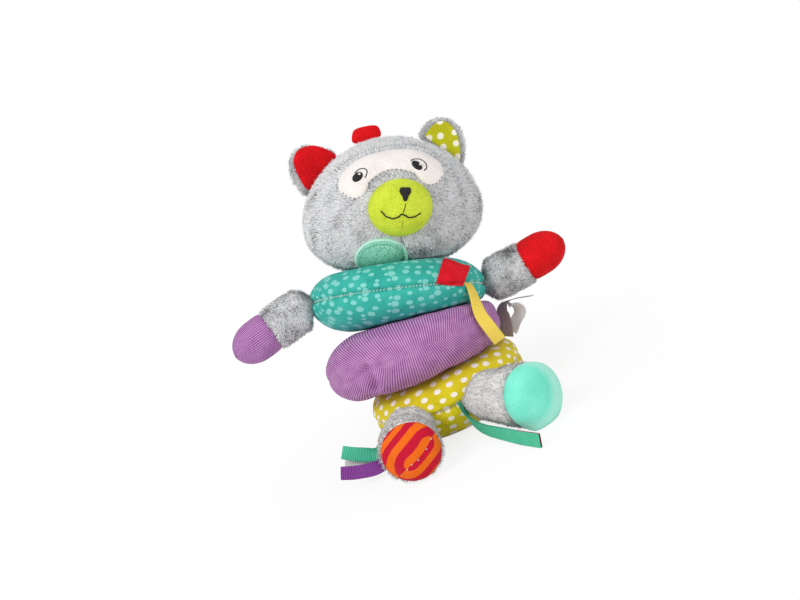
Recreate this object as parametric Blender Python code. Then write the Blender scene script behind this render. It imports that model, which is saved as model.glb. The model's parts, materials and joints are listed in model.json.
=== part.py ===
"""A stuffed raccoon for a small child: four cushions that stack on round hook-and-loop discs.

Metres, +Z up, the face looks along -Y. The origin is the middle of the flat seat on the floor.
Every padded form is a cloth cover with its own stuffing inside.
"""

import math

import bmesh
import bpy
import numpy as np
from mathutils import Matrix, Vector

# Cloth, clearances and how finely the forms are divided
GAP = 0.0003
SEAT = 0.0005
CLOTH = 0.0012
STUFFING_GAP = 0.0008
AROUND = 28
RINGS = 5
HEAD_RINGS = 7
LIMB_AROUND = 12

# The discs between the cushions
DISC_RADIUS = 0.017
DISC_THICKNESS = 0.0010
CHIN_DISC_X, CHIN_DISC_Z = -0.0148, -0.0348

# The three stacked cushions and the share of their fullness that is left where they press together
BASE_RADIUS = 0.051
BASE_RISE = 0.022
BASE_DROP = 0.0225
SEAT_PRESS = 0.0005
PURPLE_RADIUS = 0.058
PURPLE_RISE = 0.0255
PURPLE_DROP = 0.0275
TEAL_RADIUS = 0.056
TEAL_RISE = 0.023
TEAL_DROP = 0.0245
BASE_SQUASH = 0.68
WAIST_SQUASH = 0.727
NECK_SQUASH = 0.84

# How full a panel is: the power of its crown, and of its edge where it meets the seam
CUSHION_PROFILE = (3.4, 0.47)
SEATED_PROFILE = (6.0, 0.5)
HEAD_PROFILE = (2.2, 0.52)

# The head
HEAD_HALF_WIDTH = 0.058
HEAD_HALF_HEIGHT = 0.046
HEAD_FRONT = 0.046
HEAD_BACK = 0.040
HEAD_SEAM_Y = 0.004
CHEEKS = 0.12

# Lean of the stack: sideways to the viewer's right, and back, in degrees
PURPLE_SIDE, PURPLE_LEAN = 4, 12
TEAL_SIDE, TEAL_LEAN = 20, 16
HEAD_SIDE, HEAD_LEAN, HEAD_TURN = 16, 14, 2
LOWER_SPINE_SIDE, LOWER_SPINE_LEAN = -16, 11
MIDDLE_SPINE_SIDE, MIDDLE_SPINE_LEAN = 10, 15
UPPER_SPINE_SIDE, UPPER_SPINE_LEAN = 22, 7

# Face
MUZZLE_X = 0.0015
MUZZLE_HALF_WIDTH = 0.0210
MUZZLE_HALF_HEIGHT = 0.0184
MUZZLE_HEIGHT = 0.015
MUZZLE_RIM = 0.0012
MUZZLE_Z = -0.0045
DOME_PROFILE = (2.3, 0.55)
MASK_HALF_WIDTH = 0.0350
MASK_THICKNESS = 0.0018
MASK_SHOULDER = 0.0160
MASK_CROWN = 0.0205
MASK_PROFILE = (2.6, 0.55)
MASK_LEAST = 0.0004
LOBE_X = 0.0265
LOBE_HALF_WIDTH = 0.0090
LOBE_Z = 0.0150
LOBE_DEPTH = 0.0068
BRIDGE_Z = 0.0223
BRIDGE_DEPTH = 0.0105
BRIDGE_HALF_WIDTH = 0.0225
BRIDGE_POWER = 1.7
PUPIL_HALF_WIDTH = 0.0029
PUPIL_HALF_HEIGHT = 0.0036
PUPIL_THICKNESS = 0.0008
PUPIL_X = 0.0195
PUPIL_Z = 0.0206
GLANCE = -0.0011
NOSE_X = 0.0050
NOSE_HALF_WIDTH = 0.0038
NOSE_HEIGHT = 0.0085
NOSE_TOP_Z = 0.0088
NOSE_THICKNESS = 0.0016

# Ears and the tab between them
LEFT_EAR_ANGLE = 145
LEFT_LINING_SHIFT = -2.4
RIGHT_EAR_ANGLE = 47
EAR_SPREAD = 15.5
EAR_HEIGHT = 0.0195
EAR_ROOT_GAP = 0.0008
EAR_ROOT_SHARE = 0.45
EAR_BACK_THICKNESS = 0.0030
EAR_LINING_THICKNESS = 0.0016
EAR_LINING_SHARE = 0.84
EAR_CUP = 0.0060
TAB_ANGLE = 98
TAB_SPREAD = 10
TAB_HEIGHT = 0.0085
TAB_THICKNESS = 0.0024

# Arms, from the seam of the teal cushion
ARM_LENGTH = 0.061
ARM_RADIUS = 0.0142
ARM_ROOT_HALF_WIDTH = 0.0100
ARM_SWELL = 0.013
ARM_SWEEP = 0.7
ARM_CUT = 0.60
LEFT_ARM_WAY = (-1.0, -0.14, -0.13)
RIGHT_ARM_WAY = (1.0, -0.17, 0.10)

# Legs, from the seam of the base
LEG_LENGTH = 0.062
LEG_RADIUS = 0.0195
LEG_THIN_RADIUS = 0.0160
LEG_ROOT_HALF_WIDTH = 0.0120
LEG_SWELL = 0.020
LEG_FLARE_FROM, LEG_FLARE_TO = 0.40, 0.80
LEG_SWEEP = 0.1
LEG_CUT = 0.84
SOLE_PROFILE = (3.2, 0.5)
LEFT_LEG_AROUND, LEFT_LEG_OUT = -122, -103
RIGHT_LEG_AROUND, RIGHT_LEG_OUT = -73, -58

# The rolled edge at which a limb is sewn in: its hinge runs through the roll
LIMB_ROLL = 0.0025
ROLL_OUTSIDE = 0.08
ROLL_INSIDE = 1.1
LIMB_LEAST = 0.0004
LIMB_BEND = 0.38
LIMB_SQUARE = 0.25

# Ribbons
RIBBON_WIDTH = 0.0092
RIBBON_THICKNESS = 0.0008
RIBBON_STEPS = 4
RIBBON_ROOT = (0.0, 0.0006, 0.0)
LAYER = RIBBON_THICKNESS + GAP
YELLOW_RIBBON_WIDTH = 0.0088
YELLOW_RIBBON_AROUND = -39
YELLOW_RIBBON_ROUTE = (
    RIBBON_ROOT, (0.0008, 0.0035, -0.0040), (0.0018, 0.0062, -0.0110),
    (0.0035, 0.0102, -0.0222), (0.0008, 0.0145, -0.0320), (-0.0046, 0.0175, -0.0423),
)
TAG_SIDE = 0.0185
TAG_AROUND = -62.5
TAG_SLANT = 9
TAG_TOP_SHARE = 0.80
STRAP_WIDTH = 0.012
LABEL_WIDTH = 0.011
STRAP_AROUND = 8
STRAP_ROUTE = (
    (-0.0008, 0.0024, -0.0173), (0.0011, 0.0046, -0.0089), (0.0023, 0.0052, -0.0034), (0.0034, 0.0060, 0.0012),
    (0.0042, 0.0100, 0.0046), (0.0046, 0.0174, 0.0044), (0.0051, 0.0283, 0.0020),
)
LABEL_ROUTE = (
    (0.0044, 0.0106, 0.0022), (0.0049, 0.0140, 0.0018), (0.0046, 0.0173, -0.0025),
    (0.0034, 0.0162, -0.0066), (0.0018, 0.0118, -0.0106), (-0.0002, 0.0074, -0.0154),
)
LEFT_TAGS_AROUND = -152.4
UPPER_TAG_ROUTE = (
    RIBBON_ROOT, (0.0, 0.0065, -0.0004), (-0.0035, 0.0130, -0.0035),
    (-0.0080, 0.0210, -0.0088), (-0.0070, 0.0314, -0.0034), (-0.0026, 0.0396, 0.0025),
)
LOWER_TAG_AROUND = -141.4
LOWER_TAG_ROUTE = (
    RIBBON_ROOT, (0.0, 0.0040, -0.0014), (0.0000, 0.0095, -0.0085),
    (-0.0021, 0.0215, -0.0130), (-0.0010, 0.0305, -0.0140), (0.0077, 0.0393, -0.0118), (0.0139, 0.0472, -0.0075),
)
MIDDLE_TAG_ROUTE = (
    (0.0, 0.0006, -LAYER), (0.0, 0.0038, -LAYER - 0.0016), (-0.0030, 0.0080, -0.0105),
    (-0.0055, 0.0150, -0.0145), (-0.0060, 0.0213, -0.0150), (-0.0029, 0.0306, -0.0113), (0.0017, 0.0392, -0.0057),
)
RIGHT_TAG_AROUND = -92
RIGHT_TAG_ROUTE = (
    RIBBON_ROOT, (0.0, 0.0050, -0.0010), (-0.0025, 0.0095, -0.0065), (-0.0065, 0.0150, -0.0120),
    (-0.0120, 0.0245, -0.0155), (-0.0212, 0.0459, -0.0162), (-0.0302, 0.0657, -0.0165),
    (-0.0408, 0.0854, -0.0170),
)
FLAT_TO_UPRIGHT = ((1.0, 0.0, 0.0), (0.0, 0.0, 1.0))

# Colours: red, green, blue, then roughness
PLUSH_GREY = (0.60, 0.60, 0.60, 0.95)
STUFFING_WHITE = (0.86, 0.85, 0.82, 1.0)
WHITE = (0.88, 0.86, 0.84, 0.9)
BLACK = (0.02, 0.02, 0.02, 0.6)
LIME = (0.55, 0.72, 0.05, 0.9)
RED = (0.78, 0.01, 0.02, 0.85)
YELLOW_DOTS = (0.62, 0.55, 0.02, 0.85)
TEAL = (0.06, 0.45, 0.40, 0.85)
MINT = (0.20, 0.62, 0.50, 0.8)
PURPLE = (0.43, 0.18, 0.52, 0.9)
ORANGE = (0.95, 0.16, 0.02, 0.85)
YELLOW = (0.90, 0.66, 0.12, 0.7)
CRIMSON = (0.55, 0.01, 0.08, 0.8)
DARK = (0.09, 0.08, 0.08, 0.6)


def clear_scene():
    for thing in list(bpy.data.objects):
        bpy.data.objects.remove(thing, do_unlink=True)


def cloth(name, colour):
    """A plain matt material of one colour, made once."""
    known = bpy.data.materials.get(name)
    if known:
        return known
    material = bpy.data.materials.new(name)
    material.use_nodes = True
    shader = material.node_tree.nodes["Principled BSDF"]
    shader.inputs["Base Color"].default_value = (*colour[:3], 1.0)
    shader.inputs["Roughness"].default_value = colour[3]
    shader.inputs["Metallic"].default_value = 0.0
    return material


def upright(side, lean):
    """The direction a piece points to when it leans sideways and back by these degrees."""
    side, lean = math.radians(side), math.radians(lean)
    return Vector((math.cos(lean) * math.sin(side), math.sin(lean), math.cos(lean) * math.cos(side)))


def placed(centre, side, lean, turn=0):
    """The frame of a leaning piece."""
    turned = Matrix.Rotation(math.radians(side), 4, "Y") @ Matrix.Rotation(-math.radians(lean), 4, "X")
    return Matrix.Translation(centre) @ turned @ Matrix.Rotation(math.radians(turn), 4, "Z")


def empty_at(name, frame, parent=None):
    """An empty that carries pieces; a moving one sits on its joint's axis."""
    empty = bpy.data.objects.new(name, None)
    bpy.context.scene.collection.objects.link(empty)
    empty.empty_display_size = 0.01
    empty.parent = parent
    empty.matrix_world = frame
    bpy.context.view_layer.update()
    return empty


def skin(name, rings, carrier, material):
    """One closed body from rings of points. A single point is a pole; an open end gets a flat cap."""
    mesh = bmesh.new()
    to_local = carrier.matrix_world.inverted()
    rows = []
    for ring in rings:
        points = [ring] if isinstance(ring, Vector) else ring
        rows.append([mesh.verts.new(to_local @ Vector(p)) for p in points])
    for low, high in zip(rows, rows[1:]):
        join_rows(mesh, low, high)
    for end in (rows[0], rows[-1]):
        if len(end) > 2:
            mesh.faces.new(end)
    return finished(name, mesh, carrier, material)


def join_rows(mesh, low, high):
    count = max(len(low), len(high))
    for i in range(count):
        j = (i + 1) % count
        if len(low) == 1:
            mesh.faces.new((low[0], high[j], high[i]))
        elif len(high) == 1:
            mesh.faces.new((low[i], low[j], high[0]))
        else:
            mesh.faces.new((low[i], low[j], high[j], high[i]))


def plate(name, front, back, carrier, material):
    """One closed body between two grids of points that lie face to face."""
    mesh = bmesh.new()
    to_local = carrier.matrix_world.inverted()
    layers = []
    for grid in (front, back):
        layers.append([[mesh.verts.new(to_local @ Vector(p)) for p in row] for row in grid])
    rows, columns = len(front), len(front[0])
    for grid in layers:
        for i in range(rows - 1):
            for j in range(columns - 1):
                mesh.faces.new((grid[i][j], grid[i][j + 1], grid[i + 1][j + 1], grid[i + 1][j]))
    walk = [(0, j) for j in range(columns)]
    walk += [(i, columns - 1) for i in range(1, rows)]
    walk += [(rows - 1, j) for j in range(columns - 2, -1, -1)]
    walk += [(i, 0) for i in range(rows - 2, 0, -1)]
    for (i, j), (k, m) in zip(walk, walk[1:] + walk[:1]):
        mesh.faces.new((layers[0][i][j], layers[0][k][m], layers[1][k][m], layers[1][i][j]))
    return finished(name, mesh, carrier, material)


def finished(name, mesh, carrier, material):
    bmesh.ops.triangulate(mesh, faces=mesh.faces[:])
    bmesh.ops.recalc_face_normals(mesh, faces=mesh.faces[:])
    data = bpy.data.meshes.new(name)
    mesh.to_mesh(data)
    mesh.free()
    data.shade_smooth()
    data.set_sharp_from_angle(angle=math.radians(50))
    data.materials.append(material)
    piece = bpy.data.objects.new(name, data)
    bpy.context.scene.collection.objects.link(piece)
    piece.parent = carrier
    return piece


def angles(count):
    return [2 * math.pi * i / count for i in range(count)]


def shares(rings):
    """Ring radii from near the pole to the seam, closer together at the seam."""
    return [math.sin(0.5 * math.pi * i / rings) for i in range(1, rings + 1)]


def fullness(share, crown, edge):
    """How full a pillow is at a share of its radius: 1 at the crown, 0 at the seam."""
    return max(0.0, 1.0 - share**crown) ** edge


class Pillow:
    """A padded form of two panels sewn together round their edge, flattened where it presses on others."""

    def __init__(self, frame, rings, half_up, half_down, upper, lower):
        self.frame = frame
        self.rings = rings
        self.halves = {1: half_up, -1: half_down}
        self.profiles = {1: upper, -1: lower}
        self.presses = []

    def press(self, point, outward, clearance):
        """The form keeps this clearance to a plane through the point."""
        self.presses.append((point, outward.normalized(), clearance))

    def pressed(self, point, inset):
        for anchor, outward, clearance in self.presses:
            beyond = (point - anchor).dot(outward) + clearance + inset
            if beyond > 0:
                point = point - outward * beyond
        return point

    def flat_point(self, around, share, height, inset):
        radius = self.radius(around) - inset
        return Vector((radius * share * math.cos(around), radius * share * math.sin(around), height))

    def radius(self, around):
        return self.reach

    def point(self, side, around, share, inset, least=0.0):
        height = max(least, (self.halves[side] - inset) * fullness(share, *self.profiles[side]))
        return self.pressed(self.frame @ self.flat_point(around, share, side * height, inset), inset)

    def half(self, side, inset, count, least=0.0):
        """The pole and rings of one panel, out to the seam."""
        rows = [self.point(side, 0.0, 0.0, inset, least)]
        for share in shares(self.rings):
            rows.append([self.point(side, a, share, inset, least) for a in angles(count)])
        return rows

    def panel(self, name, side, carrier, material):
        """A bowl of cloth from one pole to the seam and back inside."""
        outer = self.half(side, 0.0, AROUND, GAP / 2)
        inner = self.half(side, CLOTH, AROUND, GAP / 2)
        return skin(name, outer + inner[::-1], carrier, material)

    def stuffing(self, name, carrier):
        inset = CLOTH + STUFFING_GAP
        top = self.half(1, inset, AROUND // 2)
        bottom = self.half(-1, inset, AROUND // 2)
        return skin(name, top + bottom[-2::-1], carrier, cloth("stuffing", STUFFING_WHITE))


class Round(Pillow):
    """A round cushion with its poles up and down."""

    def __init__(self, frame, radius, rise, drop, lower=CUSHION_PROFILE):
        super().__init__(frame, RINGS, rise, drop, CUSHION_PROFILE, lower)
        self.reach = radius


class Head(Pillow):
    """The head: its panels are the face and the back, and its outline is widest at the cheeks."""

    def __init__(self, frame):
        super().__init__(frame, HEAD_RINGS, HEAD_FRONT, HEAD_BACK, HEAD_PROFILE, HEAD_PROFILE)

    def outline(self, around, inset=0.0):
        wide = (HEAD_HALF_WIDTH - inset) * (1 - CHEEKS * math.sin(around))
        return Vector((wide * math.cos(around), 0, (HEAD_HALF_HEIGHT - inset) * math.sin(around)))

    def flat_point(self, around, share, height, inset):
        flat = self.outline(around, inset) * share
        return Vector((flat.x, HEAD_SEAM_Y - height, flat.z))

    def share_at(self, x, z):
        """The share of the outline at which a point of the face lies."""
        share = math.hypot(x / HEAD_HALF_WIDTH, z / HEAD_HALF_HEIGHT)
        for _ in range(8):
            rise = z / (HEAD_HALF_HEIGHT * max(share, 1e-6))
            share = math.hypot(x / (HEAD_HALF_WIDTH * (1 - CHEEKS * rise)), z / HEAD_HALF_HEIGHT)
        return share

    def depth(self, x, z):
        """How far forward the face lies, as local y."""
        return HEAD_SEAM_Y - HEAD_FRONT * fullness(self.share_at(x, z), *HEAD_PROFILE)

    def face_point(self, x, z, proud):
        return self.pressed(self.frame @ Vector((x, self.depth(x, z) - proud, z)), -proud)

    def holds(self, point):
        """Whether a point lies inside the front half of the head."""
        spot = self.frame.inverted() @ point
        pushed = any((point - anchor).dot(outward) + room > 0 for anchor, outward, room in self.presses)
        return not pushed and self.share_at(spot.x, spot.z) < 1 and spot.y > self.depth(spot.x, spot.z)

    def skin_below(self, start, inward, reach):
        """Where a line from outside the head first meets it."""
        outside, inside = 0.0, reach
        for _ in range(24):
            middle = 0.5 * (outside + inside)
            if self.holds(start + inward * middle):
                inside = middle
            else:
                outside = middle
        return start + inward * outside


def stack():
    """The four cushions, each set on the one below along the bent spine, and the planes between them."""
    base_at = placed(Vector((0, 0, BASE_DROP - SEAT_PRESS)), 0, 0)
    base = Round(base_at, BASE_RADIUS, BASE_RISE, BASE_DROP, SEATED_PROFILE)
    base.press(Vector((0, 0, 0)), Vector((0, 0, -1)), 0.0)
    centre = base.frame.translation
    lower = upright(LOWER_SPINE_SIDE, LOWER_SPINE_LEAN)
    purple_at = centre + lower * BASE_SQUASH * (BASE_RISE + PURPLE_DROP)
    purple = Round(placed(purple_at, PURPLE_SIDE, PURPLE_LEAN), PURPLE_RADIUS, PURPLE_RISE, PURPLE_DROP)
    middle = upright(MIDDLE_SPINE_SIDE, MIDDLE_SPINE_LEAN)
    teal_at = purple_at + middle * WAIST_SQUASH * (PURPLE_RISE + TEAL_DROP)
    teal = Round(placed(teal_at, TEAL_SIDE, TEAL_LEAN), TEAL_RADIUS, TEAL_RISE, TEAL_DROP)
    upper = upright(UPPER_SPINE_SIDE, UPPER_SPINE_LEAN)
    head_at = teal_at + upper * NECK_SQUASH * (TEAL_RISE + HEAD_HALF_HEIGHT)
    head = Head(placed(head_at, HEAD_SIDE, HEAD_LEAN, HEAD_TURN))
    planes = [
        pressed_together(base, purple, centre + lower * BASE_SQUASH * BASE_RISE),
        pressed_together(purple, teal, purple_at + middle * WAIST_SQUASH * PURPLE_RISE),
        pressed_together(teal, head, teal_at + upper * NECK_SQUASH * TEAL_RISE),
    ]
    return base, purple, teal, head, planes


def pressed_together(low, high, point):
    """Flattens two neighbours on a shared plane, with room for a disc on each side of it."""
    normal = low.frame.col[2].to_3d() + high.frame.col[2].to_3d()
    normal.normalize()
    room = 1.5 * GAP + DISC_THICKNESS
    low.press(point, normal, room)
    high.press(point, -normal, room)
    return point, normal


def disc(name, plane, side, carrier, material):
    """A round hook or loop disc that lies flat against the cushion on one side of the plane."""
    point, normal = plane
    across = normal.orthogonal().normalized()
    along = normal.cross(across)
    near = side * GAP / 2
    far = side * (GAP / 2 + DISC_THICKNESS)
    rings = [point + normal * near]
    for radius, level in ((DISC_RADIUS, near), (DISC_RADIUS, far)):
        flat = point + normal * level
        rings.append([flat + radius * (across * math.cos(a) + along * math.sin(a)) for a in angles(24)])
    rings.append(point + normal * far)
    return skin(name, rings, carrier, material)


def chin_disc(name, head, layer, carrier, material):
    """A disc that hugs the underside of the chin. Layer 0 is sewn to the head, and layer 1 grips it."""
    middle = head.face_point(CHIN_DISC_X, CHIN_DISC_Z, 0.0)
    beside = head.face_point(CHIN_DISC_X + DISC_THICKNESS, CHIN_DISC_Z, 0.0)
    above = head.face_point(CHIN_DISC_X, CHIN_DISC_Z + DISC_THICKNESS, 0.0)
    across = (beside - middle).normalized()
    outward = across.cross(above - middle).normalized()
    along = outward.cross(across)
    near = GAP + layer * (GAP + DISC_THICKNESS)
    front, back = [], []
    for share in (0.0, 0.4, 0.75, 1.0):
        spots = []
        for a in angles(24):
            start = middle + (across * math.cos(a) + along * math.sin(a)) * DISC_RADIUS * share
            spots.append(head.skin_below(start + outward * DISC_RADIUS, -outward, 3 * DISC_RADIUS))
        if share == 0.0:
            spots = spots[:1]
        for rows, lift in ((back, near), (front, near + DISC_THICKNESS)):
            row = [spot + outward * lift for spot in spots]
            rows.append(row if len(row) > 1 else row[0])
    return skin(name, front + back[::-1], carrier, material)


class Limb:
    """A stuffed arm or leg: sewn flat into the seam, swelling, and rounded off at the far end."""

    steps = 5

    def __init__(self, root, tip, bend, profile, frame):
        self.root, self.tip, self.bend = root, tip, bend
        self.profile = profile
        self.across, self.outward = (frame.col[i].to_3d() for i in range(2))
        self.length = (tip - root).length

    def centre(self, t):
        return self.root * (1 - t) ** 2 + self.bend * 2 * t * (1 - t) + self.tip * t**2

    def ring(self, t, inset):
        ahead = (self.bend.lerp(self.tip, t) - self.root.lerp(self.bend, t)).normalized()
        ahead = self.outward.lerp(ahead, smooth(t / LIMB_SQUARE)).normalized()
        up = self.across.cross(ahead).normalized()
        side = ahead.cross(up)
        half_width, half_height = (max(size - inset, LIMB_LEAST) for size in self.profile(t))
        centre = self.centre(t * (1 - inset / self.length))
        turns = angles(LIMB_AROUND)
        return [centre + half_width * math.cos(a) * side + half_height * math.sin(a) * up for a in turns]

    def run(self, start, cut, inset):
        """Rings from the rolled edge to just before the cut, closer together at the edge."""
        steps = self.steps
        span = cut - GAP / self.length - start
        return [self.ring(start + span * (i / steps) ** 1.6, inset) for i in range(steps + 1)]

    def sleeve(self, name, cut, carrier, material):
        """A long bowl of cloth: sewn shut at the seam, open where the hand or foot begins."""
        roll = LIMB_ROLL / self.length
        outer = [self.centre(0)] + self.run(ROLL_OUTSIDE * roll, cut, 0.0)
        inner = [self.centre(roll)] + self.run(ROLL_INSIDE * roll, cut, CLOTH)
        return skin(name, outer + inner[::-1], carrier, material)

    def end_rings(self, start, inset):
        """Rings from a start to the rounded end, closer together towards its point."""
        rings = [self.ring(start + (1 - start) * math.sin(0.5 * math.pi * i / 5), inset) for i in range(5)]
        return rings + [self.centre(1 - inset / self.length)]

    def cap(self, name, cut, carrier, material):
        outer = self.end_rings(cut, 0.0)
        inner = self.end_rings(cut, CLOTH)
        return skin(name, outer[::-1] + inner, carrier, material)

    def stuffing(self, name, cut, carrier):
        inset = CLOTH + STUFFING_GAP
        rings = self.run(ROLL_INSIDE * LIMB_ROLL / self.length, cut, inset)[2:] + self.end_rings(cut, inset)[1:]
        return skin(name, rings, carrier, cloth("stuffing", STUFFING_WHITE))


def smooth(t):
    t = min(1.0, max(0.0, t))
    return t * t * (3 - 2 * t)


def rolled(distance, full, swell):
    """Half height of a limb at a distance from its rolled edge."""
    into = max(0.0, 1 - distance / LIMB_ROLL)
    return LIMB_ROLL * math.sqrt(max(0.0, 1 - into**2)) + (full - LIMB_ROLL) * smooth(distance / swell)


def arm_profile(t):
    """Half width and half height along an arm: it swells over its first third and has a round end."""
    distance = t * ARM_LENGTH
    half_width = ARM_ROOT_HALF_WIDTH + (ARM_RADIUS - ARM_ROOT_HALF_WIDTH) * smooth(distance / ARM_SWELL)
    cap = ARM_RADIUS / ARM_LENGTH
    into = max(0.0, (t - 1 + cap) / cap)
    close = math.sqrt(max(0.0, 1 - into**2))
    return half_width * close, rolled(distance, ARM_RADIUS, ARM_SWELL) * close


def leg_profile(t):
    """Half width and half height along a leg: it flares to the foot and ends in a shallow dome."""
    distance = t * LEG_LENGTH
    flare = (LEG_RADIUS - LEG_THIN_RADIUS) * smooth((t - LEG_FLARE_FROM) / (LEG_FLARE_TO - LEG_FLARE_FROM))
    half_width = LEG_ROOT_HALF_WIDTH + (LEG_THIN_RADIUS - LEG_ROOT_HALF_WIDTH) * smooth(distance / LEG_SWELL)
    half_height = rolled(distance, LEG_THIN_RADIUS, LEG_SWELL)
    into = max(0.0, (t - LEG_CUT) / (1 - LEG_CUT))
    close = fullness(into, *SOLE_PROFILE)
    return (half_width + flare) * close, (half_height + flare) * close


def seam_point(cushion, around, proud):
    """A point just outside a cushion's seam, at an angle seen from above, and the way outwards there."""
    a = math.radians(around)
    centre = cushion.frame.translation
    outward = (cushion.frame @ Vector((math.cos(a), math.sin(a), 0)) - centre).normalized()
    return centre + outward * (cushion.reach + proud), outward


def hinge_frame(point, outward, upward):
    """A frame on a hinge: X runs along the hinge's axis, and Y points outwards."""
    axis = outward.cross(upward).normalized()
    up = axis.cross(outward).normalized()
    return Matrix.Translation(point) @ Matrix((axis, outward, up)).transposed().to_4x4()


def make_limb(name, cushion, around, way, sweep, carrier, profile, length, cut, pieces, colour):
    """One limb on its hinge. The way leads from its seam to its tip; sweep is how soon it turns that way."""
    root, outward = seam_point(cushion, around, GAP)
    frame = hinge_frame(root + outward * LIMB_ROLL, outward, cushion.frame.col[2].to_3d())
    hinge = empty_at(f"{name}_hinge", frame, carrier)
    tip = root + way.normalized() * length
    bend = root + outward.lerp(way.normalized(), sweep).normalized() * length * LIMB_BEND
    limb = Limb(root, tip, bend, profile, frame)
    limb.sleeve(pieces[0], cut, hinge, cloth("grey_plush", PLUSH_GREY))
    limb.cap(pieces[1], cut, hinge, colour)
    limb.stuffing(f"{name}_stuffing", cut, hinge)


def make_arms(teal, carrier):
    for name, around, way, pieces, colour in (
        ("left_arm", 180, LEFT_ARM_WAY, ("left_sleeve", "left_paw"), cloth("purple_knit", PURPLE)),
        ("right_arm", 0, RIGHT_ARM_WAY, ("right_sleeve", "right_paw"), cloth("red_plush", RED)),
    ):
        make_limb(name, teal, around, Vector(way), ARM_SWEEP, carrier, arm_profile, ARM_LENGTH, ARM_CUT,
                  pieces, colour)


def make_legs(base, carrier):
    down = LEG_RADIUS + GAP - base.frame.translation.z
    flat = math.sqrt(LEG_LENGTH**2 - down**2)
    for name, around, out, pieces, colour in (
        ("left_leg", LEFT_LEG_AROUND, LEFT_LEG_OUT, ("left_leg_fur", "left_sole"), cloth("striped_sole", ORANGE)),
        ("right_leg", RIGHT_LEG_AROUND, RIGHT_LEG_OUT, ("right_leg_fur", "right_foot"), cloth("mint_plush", MINT)),
    ):
        a = math.radians(out)
        way = Vector((flat * math.cos(a), flat * math.sin(a), down))
        make_limb(name, base, around, way, LEG_SWEEP, carrier, leg_profile, LEG_LENGTH, LEG_CUT, pieces, colour)


def mask_edges(x):
    """Lower and upper edge of the goggle-shaped eye mask at a distance from its middle."""
    top = MASK_SHOULDER + MASK_CROWN * fullness(abs(x) / MASK_HALF_WIDTH, *MASK_PROFILE)
    lobe = LOBE_Z - LOBE_DEPTH * math.sqrt(max(0.0, 1 - ((abs(x) - LOBE_X) / LOBE_HALF_WIDTH) ** 2))
    bridge = BRIDGE_Z - BRIDGE_DEPTH * min(1.0, abs(x) / BRIDGE_HALF_WIDTH) ** BRIDGE_POWER
    bottom = min(lobe, bridge) if abs(x) > LOBE_X - LOBE_HALF_WIDTH else bridge
    return min(bottom, top - MASK_LEAST), top


def make_face(head, carrier):
    columns, rows = 22, 5
    layers = [[], []]
    for i in range(columns + 1):
        x = -MASK_HALF_WIDTH * math.cos(math.pi * i / columns)
        low, high = mask_edges(x)
        for layer, proud in zip(layers, (SEAT + MASK_THICKNESS, SEAT)):
            layer.append([head.face_point(x, low + (high - low) * j / rows, proud) for j in range(rows + 1)])
    plate("eye_mask", layers[0], layers[1], carrier, cloth("white_mask", WHITE))
    for side, name in ((-1, "left_pupil"), (1, "right_pupil")):
        oval(name, head, side * PUPIL_X + GLANCE, PUPIL_Z, PUPIL_HALF_WIDTH, PUPIL_HALF_HEIGHT,
             SEAT + MASK_THICKNESS + SEAT, PUPIL_THICKNESS, 0.0, carrier, cloth("black_stitch", BLACK))
    oval("muzzle", head, MUZZLE_X, MUZZLE_Z, MUZZLE_HALF_WIDTH, MUZZLE_HALF_HEIGHT,
         SEAT, MUZZLE_RIM, MUZZLE_HEIGHT, carrier, cloth("lime_plush", LIME))
    make_nose(head, carrier)


def oval(name, head, x, z, half_width, half_height, proud, rim, dome, carrier, material):
    """An oval patch or dome on the face, following the head behind it."""
    front, back = [], []
    for share in (0.0, 0.35, 0.65, 0.86, 0.96, 1.0) if dome else (0.0, 0.6, 1.0):
        lift = proud + rim + dome * fullness(share, *DOME_PROFILE)
        spots = [(x + half_width * share * math.cos(a), z + half_height * share * math.sin(a)) for a in angles(20)]
        if share == 0.0:
            front.append(head.face_point(x, z, lift))
            back.append(head.face_point(x, z, proud))
        else:
            front.append([head.face_point(u, v, lift) for u, v in spots])
            back.append([head.face_point(u, v, proud) for u, v in spots])
    return skin(name, front + back[::-1], carrier, material)


def muzzle_lift(x, z):
    """How far the muzzle stands proud of the head at a point of the face."""
    share = math.hypot((x - MUZZLE_X) / MUZZLE_HALF_WIDTH, (z - MUZZLE_Z) / MUZZLE_HALF_HEIGHT)
    return SEAT + MUZZLE_RIM + MUZZLE_HEIGHT * fullness(share, *DOME_PROFILE)


def make_nose(head, carrier):
    """A flat-topped triangle with round corners, sewn on the muzzle."""
    middle = NOSE_TOP_Z - 0.38 * NOSE_HEIGHT
    spots = []
    for a in angles(15):
        reach = 1.0 + 0.16 * math.cos(3 * (a + math.pi / 2))
        z = middle + 0.5 * NOSE_HEIGHT * reach * math.sin(a)
        spots.append((NOSE_X + NOSE_HALF_WIDTH * reach * math.cos(a), z))
    front = [head.face_point(NOSE_X, middle, muzzle_lift(NOSE_X, middle) + SEAT + NOSE_THICKNESS)]
    back = [head.face_point(NOSE_X, middle, muzzle_lift(NOSE_X, middle) + SEAT)]
    front.append([head.face_point(x, z, muzzle_lift(x, z) + SEAT + 0.7 * NOSE_THICKNESS) for x, z in spots])
    back.append([head.face_point(x, z, muzzle_lift(x, z) + SEAT) for x, z in spots])
    return skin("nose", front + back[::-1], carrier, cloth("black_stitch", BLACK))


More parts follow.
